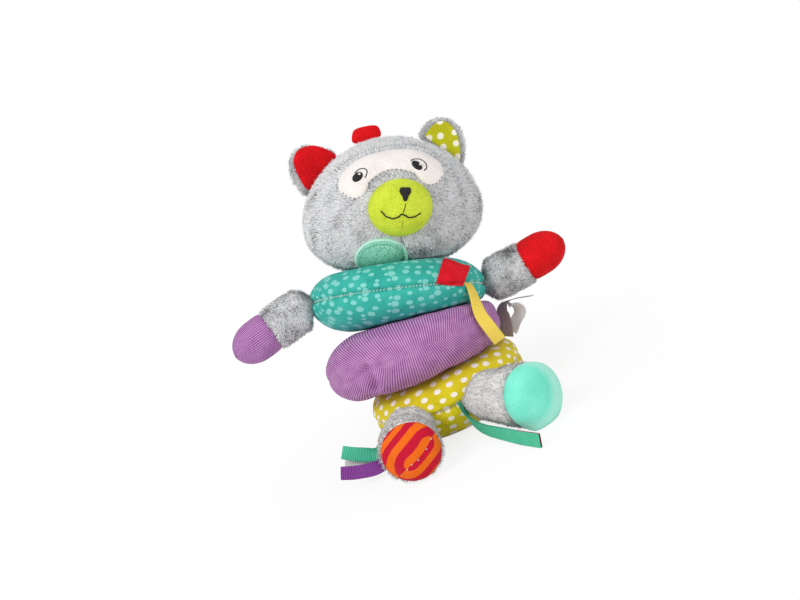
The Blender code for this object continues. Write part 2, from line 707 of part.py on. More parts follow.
def flap(name, head, middle, shift, spread, height, share, near, thickness, cup, carrier, material):
    """A rounded flap that grows from the head's outline and is thinner there, as an ear or a tab is."""
    front, back = [], []
    columns, rows = 12, 4
    for i in range(columns + 1):
        across = -math.cos(math.pi * i / columns)
        turned = shift + spread * share * across
        around = math.radians(middle + turned)
        root = head.outline(around)
        way = root.normalized()
        rise = height * share * max(0.0, 1 - abs(across) ** 2.2) ** 0.62 + EAR_ROOT_GAP
        lines = ([], [])
        for j in range(rows + 1):
            out = rise * j / rows
            lean = -cup * ((turned / spread) ** 2 + 0.25) * (out / height)
            spot = root + way * (EAR_ROOT_GAP + out)
            body = EAR_ROOT_SHARE + (1 - EAR_ROOT_SHARE) * smooth(out / (0.4 * height))
            for line, depth in zip(lines, (near, near + thickness * body)):
                line.append(head.frame @ (spot + Vector((0, HEAD_SEAM_Y + depth + lean, 0))))
        front.append(lines[0])
        back.append(lines[1])
    return plate(name, front, back, carrier, material)


def make_ears(head, carrier):
    for side, middle, shift, lining in (
        ("left", LEFT_EAR_ANGLE, LEFT_LINING_SHIFT, RED),
        ("right", RIGHT_EAR_ANGLE, 0, YELLOW_DOTS),
    ):
        around = math.radians(middle)
        root = head.outline(around)
        outward = (head.frame.to_3x3() @ root.normalized()).normalized()
        forward = -head.frame.col[1].to_3d()
        point = head.frame @ (root + root.normalized() * EAR_ROOT_GAP + Vector((0, HEAD_SEAM_Y, 0)))
        hinge = empty_at(f"{side}_ear_hinge", hinge_frame(point, outward, forward), carrier)
        flap(f"{side}_ear_back", head, middle, 0, EAR_SPREAD, EAR_HEIGHT, 1.0, GAP / 2,
             EAR_BACK_THICKNESS, EAR_CUP, hinge, cloth("grey_plush", PLUSH_GREY))
        flap(f"{side}_ear_lining", head, middle, shift, EAR_SPREAD, EAR_HEIGHT, EAR_LINING_SHARE,
             -GAP / 2, -EAR_LINING_THICKNESS, EAR_CUP, hinge,
             cloth(f"{side}_lining", lining))
    flap("crown_tab", head, TAB_ANGLE, 0, TAB_SPREAD, TAB_HEIGHT, 1.0, 0.0, TAB_THICKNESS, 0.0,
         carrier, cloth("red_felt", RED))


def smooth_path(points, steps):
    """A curve through the points, in even steps between each two."""
    ends = [2 * points[0] - points[1], *points, 2 * points[-1] - points[-2]]
    path = []
    for a, b, c, d in zip(ends, ends[1:], ends[2:], ends[3:]):
        for i in range(steps):
            t = i / steps
            bend = (2 * a - 5 * b + 4 * c - d) * t**2 + (3 * b - a - 3 * c + d) * t**3
            path.append(0.5 * (2 * b + (c - a) * t + bend))
    return path + [points[-1]]


def ribbon(name, frame, route, across, width, carrier, material, layer=0):
    """A strip of ribbon. Its route and its width's way at either end are (along the seam, out, up)."""
    path = smooth_path([frame @ Vector(p) for p in route], RIBBON_STEPS)
    turned = [(frame.to_3x3() @ Vector(way)).normalized() for way in across]
    front, back = [], []
    for i, spot in enumerate(path):
        t = i / (len(path) - 1)
        ahead = (path[min(i + 1, len(path) - 1)] - path[max(i - 1, 0)]).normalized()
        side = turned[0].lerp(turned[1], smooth(t))
        side = (side - ahead * side.dot(ahead)).normalized()
        face = ahead.cross(side)
        columns = [side * 0.5 * width * share for share in (-1, 0, 1)]
        near = layer * LAYER
        front.append([spot + out + face * (near + RIBBON_THICKNESS) for out in columns])
        back.append([spot + out + face * near for out in columns])
    return plate(name, front, back, carrier, material)


def seam_frame(cushion, around):
    point, outward = seam_point(cushion, around, GAP)
    return hinge_frame(point, outward, cushion.frame.col[2].to_3d())


def make_ribbons(base, purple, teal, base_at, purple_at, teal_at):
    yellow_frame = seam_frame(teal, YELLOW_RIBBON_AROUND)
    yellow_at = empty_at("yellow_ribbon_hinge", yellow_frame, teal_at)
    ribbon("yellow_ribbon", yellow_frame, YELLOW_RIBBON_ROUTE, ((1.0, 0.0, 0.0), (0.34, -0.71, -0.63)),
           YELLOW_RIBBON_WIDTH, yellow_at, cloth("yellow_ribbon", YELLOW))
    strap_frame = seam_frame(purple, STRAP_AROUND)
    ribbon("dark_strap", strap_frame, STRAP_ROUTE, ((0.77, 0.64, 0.0), (1.0, 0.05, 0.0)),
           STRAP_WIDTH, purple_at, cloth("dark_strap", DARK))
    ribbon("white_label", strap_frame, LABEL_ROUTE, ((0.83, 0.50, -0.20), (0.77, 0.64, 0.0)),
           LABEL_WIDTH, purple_at, cloth("white_label", WHITE))
    for name, around, route, colour in (
        ("mint_tag", LEFT_TAGS_AROUND, UPPER_TAG_ROUTE, MINT),
        ("white_tag", LEFT_TAGS_AROUND, MIDDLE_TAG_ROUTE, WHITE),
        ("purple_tag", LOWER_TAG_AROUND, LOWER_TAG_ROUTE, PURPLE),
    ):
        frame = seam_frame(base, around)
        ribbon(name, frame, route, FLAT_TO_UPRIGHT, RIBBON_WIDTH, base_at, cloth(name, colour))
    right_frame = seam_frame(base, RIGHT_TAG_AROUND)
    for layer, name, colour in ((1, "long_ribbon", MINT), (0, "long_ribbon_lining", CRIMSON)):
        ribbon(name, right_frame, RIGHT_TAG_ROUTE, ((1.0, 0.0, 0.0), (-0.3, 0.0, 0.95)),
               RIBBON_WIDTH, base_at, cloth(name, colour), layer)


def make_tag(teal, carrier):
    """The square tag: its lower edge is in the seam, and it lies up over the cushion."""
    wide = math.degrees(TAG_SIDE / TEAL_RADIUS)
    columns, rows = 5, 6
    layers = [[], []]
    for i in range(columns + 1):
        for layer, proud in zip(layers, (SEAT + RIBBON_THICKNESS, SEAT)):
            row = []
            for j in range(rows + 1):
                up = j / rows
                around = math.radians(TAG_AROUND + wide * i / columns + TAG_SLANT * up)
                share = 1 - (1 - TAG_TOP_SHARE) * 2 * smooth(up / 2)
                row.append(teal.point(1, around, share, -proud, GAP / 2))
            layer.append(row)
    return plate("red_tag", layers[0], layers[1], carrier, cloth("red_felt", RED))


def main():
    clear_scene()
    base, purple, teal, head, planes = stack()
    base_at = empty_at("base_frame", base.frame)
    purple_at = empty_at("purple_frame", purple.frame, base_at)
    teal_at = empty_at("teal_frame", teal.frame, purple_at)
    head_at = empty_at("head_frame", head.frame, teal_at)
    for form, name, ends, carrier, colour in (
        (base, "base", ("upper_panel", "lower_panel"), base_at, YELLOW_DOTS),
        (purple, "purple", ("upper_panel", "lower_panel"), purple_at, PURPLE),
        (teal, "teal", ("upper_panel", "lower_panel"), teal_at, TEAL),
        (head, "head", ("face_panel", "back_panel"), head_at, PLUSH_GREY),
    ):
        for side, end in zip((1, -1), ends):
            form.panel(f"{name}_{end}", side, carrier, cloth(f"{name}_cloth", colour))
        form.stuffing(f"{name}_stuffing", carrier)
    for plane, low, high, low_at, high_at in (
        (planes[0], "base_top_disc", "purple_under_disc", base_at, purple_at),
        (planes[1], "purple_top_disc", "teal_under_disc", purple_at, teal_at),
    ):
        disc(low, plane, -1, low_at, cloth("mint_loop", MINT))
        disc(high, plane, 1, high_at, cloth("mint_hook", MINT))
    chin_disc("head_under_disc", head, 0, head_at, cloth("mint_hook", MINT))
    chin_disc("teal_top_disc", head, 1, teal_at, cloth("mint_loop", MINT))
    make_face(head, head_at)
    make_ears(head, head_at)
    make_arms(teal, teal_at)
    make_legs(base, base_at)
    make_tag(teal, teal_at)
    make_ribbons(base, purple, teal, base_at, purple_at, teal_at)


main()
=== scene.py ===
# %% [markdown]
# A stuffed raccoon that comes apart into cushions. The real one is sewn from plush, printed velour and
# knitted cloth, filled with loose fibre, and its four cushions grip each other with round discs. The
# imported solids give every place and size. Here each of them is dressed as cloth, piece by piece.

# %% Load the frame
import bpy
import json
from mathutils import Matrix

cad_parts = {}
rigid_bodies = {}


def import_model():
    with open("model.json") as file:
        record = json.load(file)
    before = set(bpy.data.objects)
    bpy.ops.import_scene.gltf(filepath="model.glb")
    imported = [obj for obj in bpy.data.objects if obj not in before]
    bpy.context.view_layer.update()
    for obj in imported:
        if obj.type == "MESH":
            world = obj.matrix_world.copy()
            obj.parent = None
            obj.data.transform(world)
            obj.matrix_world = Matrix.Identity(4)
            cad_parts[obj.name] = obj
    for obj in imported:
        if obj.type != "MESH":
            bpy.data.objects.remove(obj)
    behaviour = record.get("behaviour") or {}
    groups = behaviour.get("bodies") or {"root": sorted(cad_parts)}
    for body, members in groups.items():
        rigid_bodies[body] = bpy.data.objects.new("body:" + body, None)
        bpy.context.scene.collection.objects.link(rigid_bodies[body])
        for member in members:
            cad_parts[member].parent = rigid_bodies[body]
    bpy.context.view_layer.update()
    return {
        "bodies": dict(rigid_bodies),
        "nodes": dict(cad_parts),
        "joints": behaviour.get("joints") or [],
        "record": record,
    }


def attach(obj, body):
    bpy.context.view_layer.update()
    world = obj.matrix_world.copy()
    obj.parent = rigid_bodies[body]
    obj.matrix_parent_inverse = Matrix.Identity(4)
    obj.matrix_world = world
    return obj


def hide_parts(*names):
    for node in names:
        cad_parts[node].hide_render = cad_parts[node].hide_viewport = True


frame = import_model()

# %% Libraries and the stage's small helpers
import json
import math
import bmesh
import bpy
import numpy as np
from mathutils import Matrix, Vector
from mathutils.bvhtree import BVHTree

scene = bpy.context.scene


def deselect():
    if bpy.context.object and bpy.context.object.mode != "OBJECT":
        bpy.ops.object.mode_set(mode="OBJECT")
    bpy.ops.object.select_all(action="DESELECT")


def choose(piece):
    """Makes a piece the only selected and active one."""
    deselect()
    piece.select_set(True)
    bpy.context.view_layer.objects.active = piece
    return piece


def apply_all(piece):
    choose(piece)
    for modifier in list(piece.modifiers):
        bpy.ops.object.modifier_apply(modifier=modifier.name)
    return piece


def outward(piece):
    """Merges doubles and turns every face outwards."""
    choose(piece)
    bpy.ops.object.mode_set(mode="EDIT")
    bpy.ops.mesh.select_all(action="SELECT")
    bpy.ops.mesh.remove_doubles(threshold=1e-6)
    bpy.ops.mesh.normals_make_consistent(inside=False)
    bpy.ops.object.mode_set(mode="OBJECT")
    bpy.ops.object.shade_smooth()
    return piece


# %% [markdown]
# The camera looks from a little above, and it is rolled, because the toy lies a little askew in the
# picture. Its place is worked out from two directions in the picture, right and up, and from the point of
# the seat, so that the scene and the solids share one view.

# %% Camera
PIXEL = 0.00066
DISTANCE = 1.3
roll, rise = math.radians(26), math.radians(13)
flat_right = Vector((1, 0, 0))
flat_up = Vector((0, math.sin(rise), math.cos(rise)))
ahead = Vector((0, math.cos(rise), -math.sin(rise)))
right = math.cos(roll) * flat_right - math.sin(roll) * flat_up
up = math.sin(roll) * flat_right + math.cos(roll) * flat_up
aim = Vector((0, 0, 0.022)) - right * 47 * PIXEL + up * 85 * PIXEL
deselect()
bpy.ops.object.camera_add()
camera = bpy.context.object
camera.name = "camera"
camera.matrix_world = Matrix.Translation(aim - ahead * DISTANCE) @ Matrix((right, up, -ahead)).transposed().to_4x4()
camera.data.lens = camera.data.sensor_width * DISTANCE / (800 * PIXEL)
scene.camera = camera
scene.view_settings.view_transform = "Standard"
print("lens:", round(camera.data.lens, 1), "mm")

# %% [markdown]
# The light is plain and soft: a white room gives most of it, and two large lamps from the upper left and
# from the front shape the cushions. The floor catches a faint shadow near the toy and fades into white.

# %% Lamps and room
def lamp(name, place, size, watts):
    deselect()
    bpy.ops.object.light_add(type="AREA", location=place)
    light = bpy.context.object
    light.name = name
    light.data.shape = "DISK"
    light.data.size = size
    light.data.energy = watts
    light.rotation_euler = (aim - Vector(place)).to_track_quat("-Z", "Y").to_euler()
    return light


lamp("key_lamp", (-0.75, -0.85, 1.15), 0.55, 10.5)
lamp("fill_lamp", (0.85, -1.0, 0.55), 0.9, 3.0)
room = bpy.data.worlds.new("white_room")
scene.world = room
room.use_nodes = True
tree = room.node_tree
background = tree.nodes["Background"]
background.inputs["Strength"].default_value = 0.62
seen = tree.nodes.new("ShaderNodeBackground")
seen.inputs["Strength"].default_value = 1.0
for shade in (background, seen):
    shade.inputs["Color"].default_value = (1, 1, 1, 1)
path = tree.nodes.new("ShaderNodeLightPath")
mirrored = tree.nodes.new("ShaderNodeMath")
mirrored.operation = "MAXIMUM"
tree.links.new(path.outputs["Is Camera Ray"], mirrored.inputs[0])
tree.links.new(path.outputs["Is Glossy Ray"], mirrored.inputs[1])
both = tree.nodes.new("ShaderNodeMixShader")
tree.links.new(mirrored.outputs[0], both.inputs[0])
tree.links.new(background.outputs[0], both.inputs[1])
tree.links.new(seen.outputs[0], both.inputs[2])
tree.links.new(both.outputs[0], tree.nodes["World Output"].inputs["Surface"])
print("lamps and room ready")

# %% Floor
deselect()
bpy.ops.mesh.primitive_circle_add(vertices=96, radius=3.0, fill_type="NGON", location=(0, 0, -0.0004))
floor = bpy.context.object
floor.name = "floor"
paper = bpy.data.materials.new("paper_floor")
paper.use_nodes = True
tree = paper.node_tree
matt = tree.nodes["Principled BSDF"]
matt.inputs["Base Color"].default_value = (0.93, 0.93, 0.93, 1)
matt.inputs["Roughness"].default_value = 0.9
glow = tree.nodes.new("ShaderNodeEmission")
glow.inputs["Strength"].default_value = 1.0
place = tree.nodes.new("ShaderNodeTexCoord")
reach = tree.nodes.new("ShaderNodeVectorMath")
reach.operation = "LENGTH"
fade = tree.nodes.new("ShaderNodeMapRange")
fade.inputs["From Min"].default_value = 0.05
fade.inputs["From Max"].default_value = 0.19
fade.inputs["To Min"].default_value = 0.80
path = tree.nodes.new("ShaderNodeLightPath")
share = tree.nodes.new("ShaderNodeMath")
share.operation = "MULTIPLY"
mix = tree.nodes.new("ShaderNodeMixShader")
tree.links.new(place.outputs["Object"], reach.inputs[0])
tree.links.new(reach.outputs["Value"], fade.inputs["Value"])
tree.links.new(fade.outputs[0], share.inputs[0])
tree.links.new(path.outputs["Is Camera Ray"], share.inputs[1])
tree.links.new(share.outputs[0], mix.inputs[0])
tree.links.new(matt.outputs[0], mix.inputs[1])
tree.links.new(glow.outputs[0], mix.inputs[2])
tree.links.new(mix.outputs[0], tree.nodes["Material Output"].inputs["Surface"])
floor.data.materials.append(paper)
print("floor ready")

# %% [markdown]
# Every cloth of the toy is a finish: a colour that changes over the surface and a small height pattern that
# the light catches. Effects that several cloths share are node groups, each with its own sockets: pile for
# plush, ribs for knitting and ribbon, dots for the prints. Stitches are real thread, not part of a finish.

# %% Helpers for node groups
def new_group(name, inputs, outputs):
    group = bpy.data.node_groups.new(name, "ShaderNodeTree")
    for label, kind, value in inputs:
        socket = group.interface.new_socket(label, in_out="INPUT", socket_type=kind)
        if value is not None:
            socket.default_value = value
    for label, kind in outputs:
        group.interface.new_socket(label, in_out="OUTPUT", socket_type=kind)
    return group, group.nodes.new("NodeGroupInput"), group.nodes.new("NodeGroupOutput")


def add(tree, kind, links=(), **settings):
    """A node with its settings and values; links are pairs of an input and what feeds it."""
    node = tree.nodes.new(f"ShaderNode{kind}")
    for label, value in settings.items():
        if hasattr(node, label):
            setattr(node, label, value)
        else:
            node.inputs[label.replace("_", " ")].default_value = value
    for label, source in links:
        tree.links.new(source, node.inputs[label])
    return node


def sums(tree, kind, *values):
    """A Math node's output, from numbers and sockets."""
    node = tree.nodes.new("ShaderNodeMath")
    node.operation = kind
    for i, value in enumerate(values):
        if isinstance(value, (int, float)):
            node.inputs[i].default_value = value
        else:
            tree.links.new(value, node.inputs[i])
    return node.outputs[0]


# %% [markdown]
# Plush and velour have a pile: a fine nap that stands up in small tufts and lies in larger clouds where a hand
# has brushed it. Two sizes of noise give both. The fine one is the height, and the two together are the mask.

# %% Node group: pile
pile, ins, outs = new_group("pile", [("Fine", "NodeSocketFloat", 900.0), ("Cloud", "NodeSocketFloat", 60.0)],
                            [("Mask", "NodeSocketFloat"), ("Height", "NodeSocketFloat")])
where = add(pile, "TexCoord").outputs["Object"]
tufts = add(pile, "TexNoise", [("Vector", where), ("Scale", ins.outputs["Fine"])], Detail=3.0, Roughness=0.65)
clouds = add(pile, "TexNoise", [("Vector", where), ("Scale", ins.outputs["Cloud"])], Detail=2.0)
both = sums(pile, "ADD", sums(pile, "MULTIPLY", tufts.outputs[0], 0.55),
            sums(pile, "MULTIPLY", clouds.outputs[0], 0.45))
pile.links.new(both, outs.inputs["Mask"])
pile.links.new(tufts.outputs[0], outs.inputs["Height"])
print("group pile")

# %% [markdown]
# Knitting and grosgrain ribbon both show parallel ribs. The piece's own UV map is in metres along the cloth,
# so a rib has its true width. A second, finer wave across the ribs breaks each of them into stitches.

# %% Node group: ribs
ribs, ins, outs = new_group(
    "ribs", [("Ribs per metre", "NodeSocketFloat", 500.0), ("Stitches per metre", "NodeSocketFloat", 900.0),
             ("Stitch depth", "NodeSocketFloat", 0.4)],
    [("Mask", "NodeSocketFloat"), ("Height", "NodeSocketFloat")])
flat = add(ribs, "SeparateXYZ", [("Vector", add(ribs, "TexCoord").outputs["UV"])])
wobble = add(ribs, "TexNoise", [("Vector", add(ribs, "TexCoord").outputs["UV"])], Scale=90.0, Detail=1.0)
bent = sums(ribs, "ADD", flat.outputs["X"], sums(ribs, "MULTIPLY", wobble.outputs[0], 0.0006))


def wave(tree, position, per_metre):
    turned = sums(tree, "MULTIPLY", sums(tree, "MULTIPLY", position, per_metre), 2 * math.pi)
    return sums(tree, "ADD", sums(tree, "MULTIPLY", sums(tree, "SINE", turned), 0.5), 0.5)


long_wave = wave(ribs, bent, ins.outputs["Ribs per metre"])
short_wave = wave(ribs, flat.outputs["Y"], ins.outputs["Stitches per metre"])
depth = ins.outputs["Stitch depth"]
kept = sums(ribs, "SUBTRACT", 1.0, sums(ribs, "MULTIPLY", depth, sums(ribs, "SUBTRACT", 1.0, short_wave)))
ribbed = sums(ribs, "MULTIPLY", long_wave, kept)
ribs.links.new(ribbed, outs.inputs["Height"])
ribs.links.new(sums(ribs, "ADD", sums(ribs, "MULTIPLY", ribbed, 0.75),
                    sums(ribs, "MULTIPLY", wobble.outputs[0], 0.25)), outs.inputs["Mask"])
print("group ribs")

# %% [markdown]
# Two cloths are printed with dots: even polka dots on the yellow-green one, pebbles of many sizes on the teal
# one. A cell pattern on the flat cloth does both, because a print is made while the cloth is flat. The
# cells' places are shifted a little or a lot, and the size of each dot may change with its cell.

# %% Node group: dots
dots, ins, outs = new_group(
    "dots", [("Dots per metre", "NodeSocketFloat", 130.0), ("Disorder", "NodeSocketFloat", 0.2),
             ("Radius", "NodeSocketFloat", 0.27), ("Uneven", "NodeSocketFloat", 0.0)],
    [("Mask", "NodeSocketFloat")])
cells = add(dots, "TexVoronoi", [("Vector", add(dots, "TexCoord").outputs["UV"]),
                                 ("Scale", ins.outputs["Dots per metre"]),
                                 ("Randomness", ins.outputs["Disorder"])], voronoi_dimensions="2D")
chance = add(dots, "SeparateColor", [("Color", cells.outputs["Color"])])
edge = add(dots, "TexNoise", [("Vector", add(dots, "TexCoord").outputs["UV"])], Scale=700.0, Detail=1.0)
ragged = sums(dots, "ADD", cells.outputs["Distance"], sums(dots, "MULTIPLY", edge.outputs[0], 0.07))
size = sums(dots, "MULTIPLY", ins.outputs["Radius"],
            sums(dots, "SUBTRACT", 1.0, sums(dots, "MULTIPLY", ins.outputs["Uneven"], chance.outputs[0])))
soft = add(dots, "MapRange", [("Value", sums(dots, "SUBTRACT", size, ragged))])
soft.inputs["From Min"].default_value = -0.035
soft.inputs["From Max"].default_value = -0.005
dots.links.new(soft.outputs[0], outs.inputs["Mask"])
print("group dots")

# %% Helpers for finishes
def srgb(red, green, blue):
    """A colour as a picture editor gives it, 0 to 255, turned into the renderer's own numbers."""
    parts = [c / 255 for c in (red, green, blue)]
    return (*[c / 12.92 if c <= 0.04045 else ((c + 0.055) / 1.055) ** 2.4 for c in parts], 1.0)


def new_finish(name, roughness, sheen=0.0, sheen_tint=(1, 1, 1, 1)):
    material = bpy.data.materials.new(name)
    material.use_nodes = True
    shader = material.node_tree.nodes["Principled BSDF"]
    shader.inputs["Roughness"].default_value = roughness
    shader.inputs["Specular IOR Level"].default_value = 0.25
    shader.inputs["Sheen Weight"].default_value = sheen
    shader.inputs["Sheen Roughness"].default_value = 0.4
    shader.inputs["Sheen Tint"].default_value = sheen_tint
    return material, material.node_tree, shader


def use_group(tree, group, **values):
    node = tree.nodes.new("ShaderNodeGroup")
    node.node_tree = group
    for label, value in values.items():
        node.inputs[label.replace("_", " ")].default_value = value
    return node


def ramp(tree, source, *stops):
    """A colour ramp over a mask; each stop is a position and a colour."""
    node = tree.nodes.new("ShaderNodeValToRGB")
    while len(node.color_ramp.elements) < len(stops):
        node.color_ramp.elements.new(0.5)
    for element, (position, colour) in zip(node.color_ramp.elements, stops):
        element.position, element.color = position, colour
    tree.links.new(source, node.inputs[0])
    return node.outputs[0]


def bump(tree, shader, height, depth, strength=0.6):
    node = add(tree, "Bump", [("Height", height)], Strength=strength, Distance=depth)
    tree.links.new(node.outputs[0], shader.inputs["Normal"])
    return node


def rough(tree, shader, mask, low, high):
    node = add(tree, "MapRange", [("Value", mask)])
    node.inputs["To Min"].default_value = low
    node.inputs["To Max"].default_value = high
    tree.links.new(node.outputs[0], shader.inputs["Roughness"])


def napped(name, dark, pale, fine=900.0, cloud=60.0, depth=0.0007, sheen=0.35, tint=None, low=0.34, high=0.66):
    """Short velvety cloth of one colour: a pile group, two tones and a soft sheen."""
    material, tree, shader = new_finish(name, 0.9, sheen, tint or pale)
    nap = use_group(tree, pile, Fine=fine, Cloud=cloud)
    tree.links.new(ramp(tree, nap.outputs["Mask"], (low, dark), (high, pale)), shader.inputs["Base Color"])
    rough(tree, shader, nap.outputs["Mask"], 0.95, 0.78)
    bump(tree, shader, nap.outputs["Height"], depth)
    return material


# %% Plush finishes
lime_plush = napped("lime_plush", srgb(172, 194, 36), srgb(226, 240, 74), depth=0.0009)
red_plush = napped("red_plush", srgb(190, 0, 10), srgb(240, 12, 24), fine=700.0, cloud=90.0, depth=0.0009, sheen=0.15)
red_felt = napped("red_felt", srgb(200, 4, 22), srgb(240, 20, 46), fine=1400.0, cloud=140.0, depth=0.0003, sheen=0.1)
white_plush = napped("white_plush", srgb(226, 217, 213), srgb(252, 248, 245), fine=1100.0, depth=0.0006, sheen=0.2)
mint_plush = napped("mint_plush", srgb(100, 218, 190), srgb(146, 247, 224), fine=1500.0, cloud=45.0, depth=0.0003)
grey_under = napped("grey_under", srgb(140, 140, 143), srgb(222, 222, 224), fine=500.0, cloud=120.0, depth=0.0012,
                    tint=srgb(235, 235, 238), low=0.36, high=0.62)
pale_under = napped("pale_under", srgb(206, 204, 203), srgb(246, 245, 243), fine=500.0, cloud=120.0, depth=0.0010)
print("plush finishes ready")

# %% [markdown]
# The printed and knitted cloths follow the flat cloth they were cut from. The yellow-green print has cream
# polka dots, the teal one pale pebbles. The lilac cloth is a fine knit; its ribs get a painted highlight on
# top and painted shade between them. Ribbons have ribs straight across them, painted the same way.

# %% Printed and knitted finishes
def printed(name, ground, deep, dot, per_metre, disorder, radius, uneven, sheen=0.2):
    material, tree, shader = new_finish(name, 0.85, sheen, dot)
    nap = use_group(tree, pile, Fine=1500.0, Cloud=70.0)
    print_mask = use_group(tree, dots, Dots_per_metre=per_metre, Disorder=disorder, Radius=radius, Uneven=uneven)
    cloth_colour = ramp(tree, nap.outputs["Mask"], (0.36, deep), (0.62, ground))
    mixed = tree.nodes.new("ShaderNodeMix")
    mixed.data_type = "RGBA"
    tree.links.new(print_mask.outputs["Mask"], mixed.inputs["Factor"])
    tree.links.new(cloth_colour, mixed.inputs["A"])
    mixed.inputs["B"].default_value = dot
    tree.links.new(mixed.outputs["Result"], shader.inputs["Base Color"])
    rough(tree, shader, nap.outputs["Mask"], 0.92, 0.74)
    bump(tree, shader, nap.outputs["Height"], 0.0004)
    return material


# The colour ramp follows the rib height: painted shade in the valleys between ribs and a painted highlight on their
# tops.
def ribbed_painted_light(name, deep, ground, top, per_metre, stitches, stitch_depth, depth, sheen=0.15):
    material, tree, shader = new_finish(name, 0.8, sheen, top)
    rib = use_group(tree, ribs, Ribs_per_metre=per_metre, Stitches_per_metre=stitches, Stitch_depth=stitch_depth)
    colour = ramp(tree, rib.outputs["Mask"], (0.12, deep), (0.5, ground), (0.9, top))
    tree.links.new(colour, shader.inputs["Base Color"])
    rough(tree, shader, rib.outputs["Mask"], 0.95, 0.7)
    bump(tree, shader, rib.outputs["Height"], depth)
    return material


chartreuse_dots = printed("chartreuse_dots", srgb(230, 212, 34), srgb(204, 186, 16), srgb(248, 240, 228),
                          105.0, 0.22, 0.29, 0.12)
lining_dots = printed("lining_dots", srgb(204, 204, 34), srgb(176, 172, 12), srgb(246, 240, 222),
                      125.0, 0.22, 0.29, 0.12)
teal_dots = printed("teal_dots", srgb(64, 186, 170), srgb(36, 156, 146), srgb(130, 208, 199),
                    128.0, 0.75, 0.42, 0.55)
purple_knit = ribbed_painted_light("purple_knit", srgb(132, 62, 134), srgb(206, 142, 202), srgb(250, 216, 247),
                            600.0, 1000.0, 0.7, 0.0009)
paw_knit = ribbed_painted_light("paw_knit", srgb(130, 66, 134), srgb(192, 130, 192), srgb(240, 204, 240),
                         660.0, 1000.0, 0.7, 0.0008)
mint_ribbon = ribbed_painted_light("mint_ribbon", srgb(50, 160, 125), srgb(78, 196, 156), srgb(110, 214, 178),
                            1150.0, 2600.0, 0.3, 0.00018)
white_ribbon = ribbed_painted_light("white_ribbon", srgb(196, 194, 190), srgb(236, 234, 230), srgb(250, 249, 246),
                             1150.0, 2600.0, 0.3, 0.00018)
purple_ribbon = ribbed_painted_light("purple_ribbon", srgb(96, 36, 112), srgb(138, 66, 154), srgb(166, 94, 180),
                              1150.0, 2600.0, 0.3, 0.00018)
crimson_ribbon = ribbed_painted_light("crimson_ribbon", srgb(120, 10, 40), srgb(176, 26, 62), srgb(200, 50, 84),
                               1150.0, 2600.0, 0.3, 0.00018)
yellow_ribbon = ribbed_painted_light("yellow_ribbon", srgb(222, 186, 56), srgb(246, 216, 88), srgb(252, 230, 130),
                              1150.0, 2600.0, 0.3, 0.00018)
label_cloth = ribbed_painted_light("label_cloth", srgb(236, 235, 233), srgb(250, 249, 248), srgb(253, 252, 251),
                            1600.0, 1600.0, 0.5, 0.0001)


def two_tones(name, first, second, from_x, to_x):
    """Ribbon that is one colour near its seam and another towards its end, with painted shade between its ribs and a
    painted highlight on them.
    """
    material, tree, shader = new_finish(name, 0.8, 0.15, first[1])
    rib = use_group(tree, ribs, Ribs_per_metre=1150.0, Stitches_per_metre=2600.0, Stitch_depth=0.3)
    flat = add(tree, "SeparateXYZ", [("Vector", add(tree, "TexCoord").outputs["UV"])])
    change = add(tree, "MapRange", [("Value", flat.outputs["X"])])
    change.inputs["From Min"].default_value, change.inputs["From Max"].default_value = from_x, to_x
    mixed = tree.nodes.new("ShaderNodeMix")
    mixed.data_type = "RGBA"
    tree.links.new(change.outputs[0], mixed.inputs["Factor"])
    tree.links.new(ramp(tree, rib.outputs["Mask"], (0.1, first[0]), (0.9, first[1])), mixed.inputs["A"])
    tree.links.new(ramp(tree, rib.outputs["Mask"], (0.1, second[0]), (0.9, second[1])), mixed.inputs["B"])
    tree.links.new(mixed.outputs["Result"], shader.inputs["Base Color"])
    rough(tree, shader, rib.outputs["Mask"], 0.95, 0.7)
    bump(tree, shader, rib.outputs["Height"], 0.00018)
    return material


two_tone_ribbon = two_tones("two_tone_ribbon", (srgb(50, 160, 125), srgb(98, 206, 170)),
                            (srgb(120, 10, 40), srgb(196, 46, 80)), 0.066, 0.070)
print("prints, knits and ribbons ready")

# %% [markdown]
# The left foot's sole is printed with curved bands, orange and crimson in turn, that run round one spot near
# its lower edge. Rings round a point in the piece's own flat map give them, with a little noise in
# their width as an ink print on velour has.

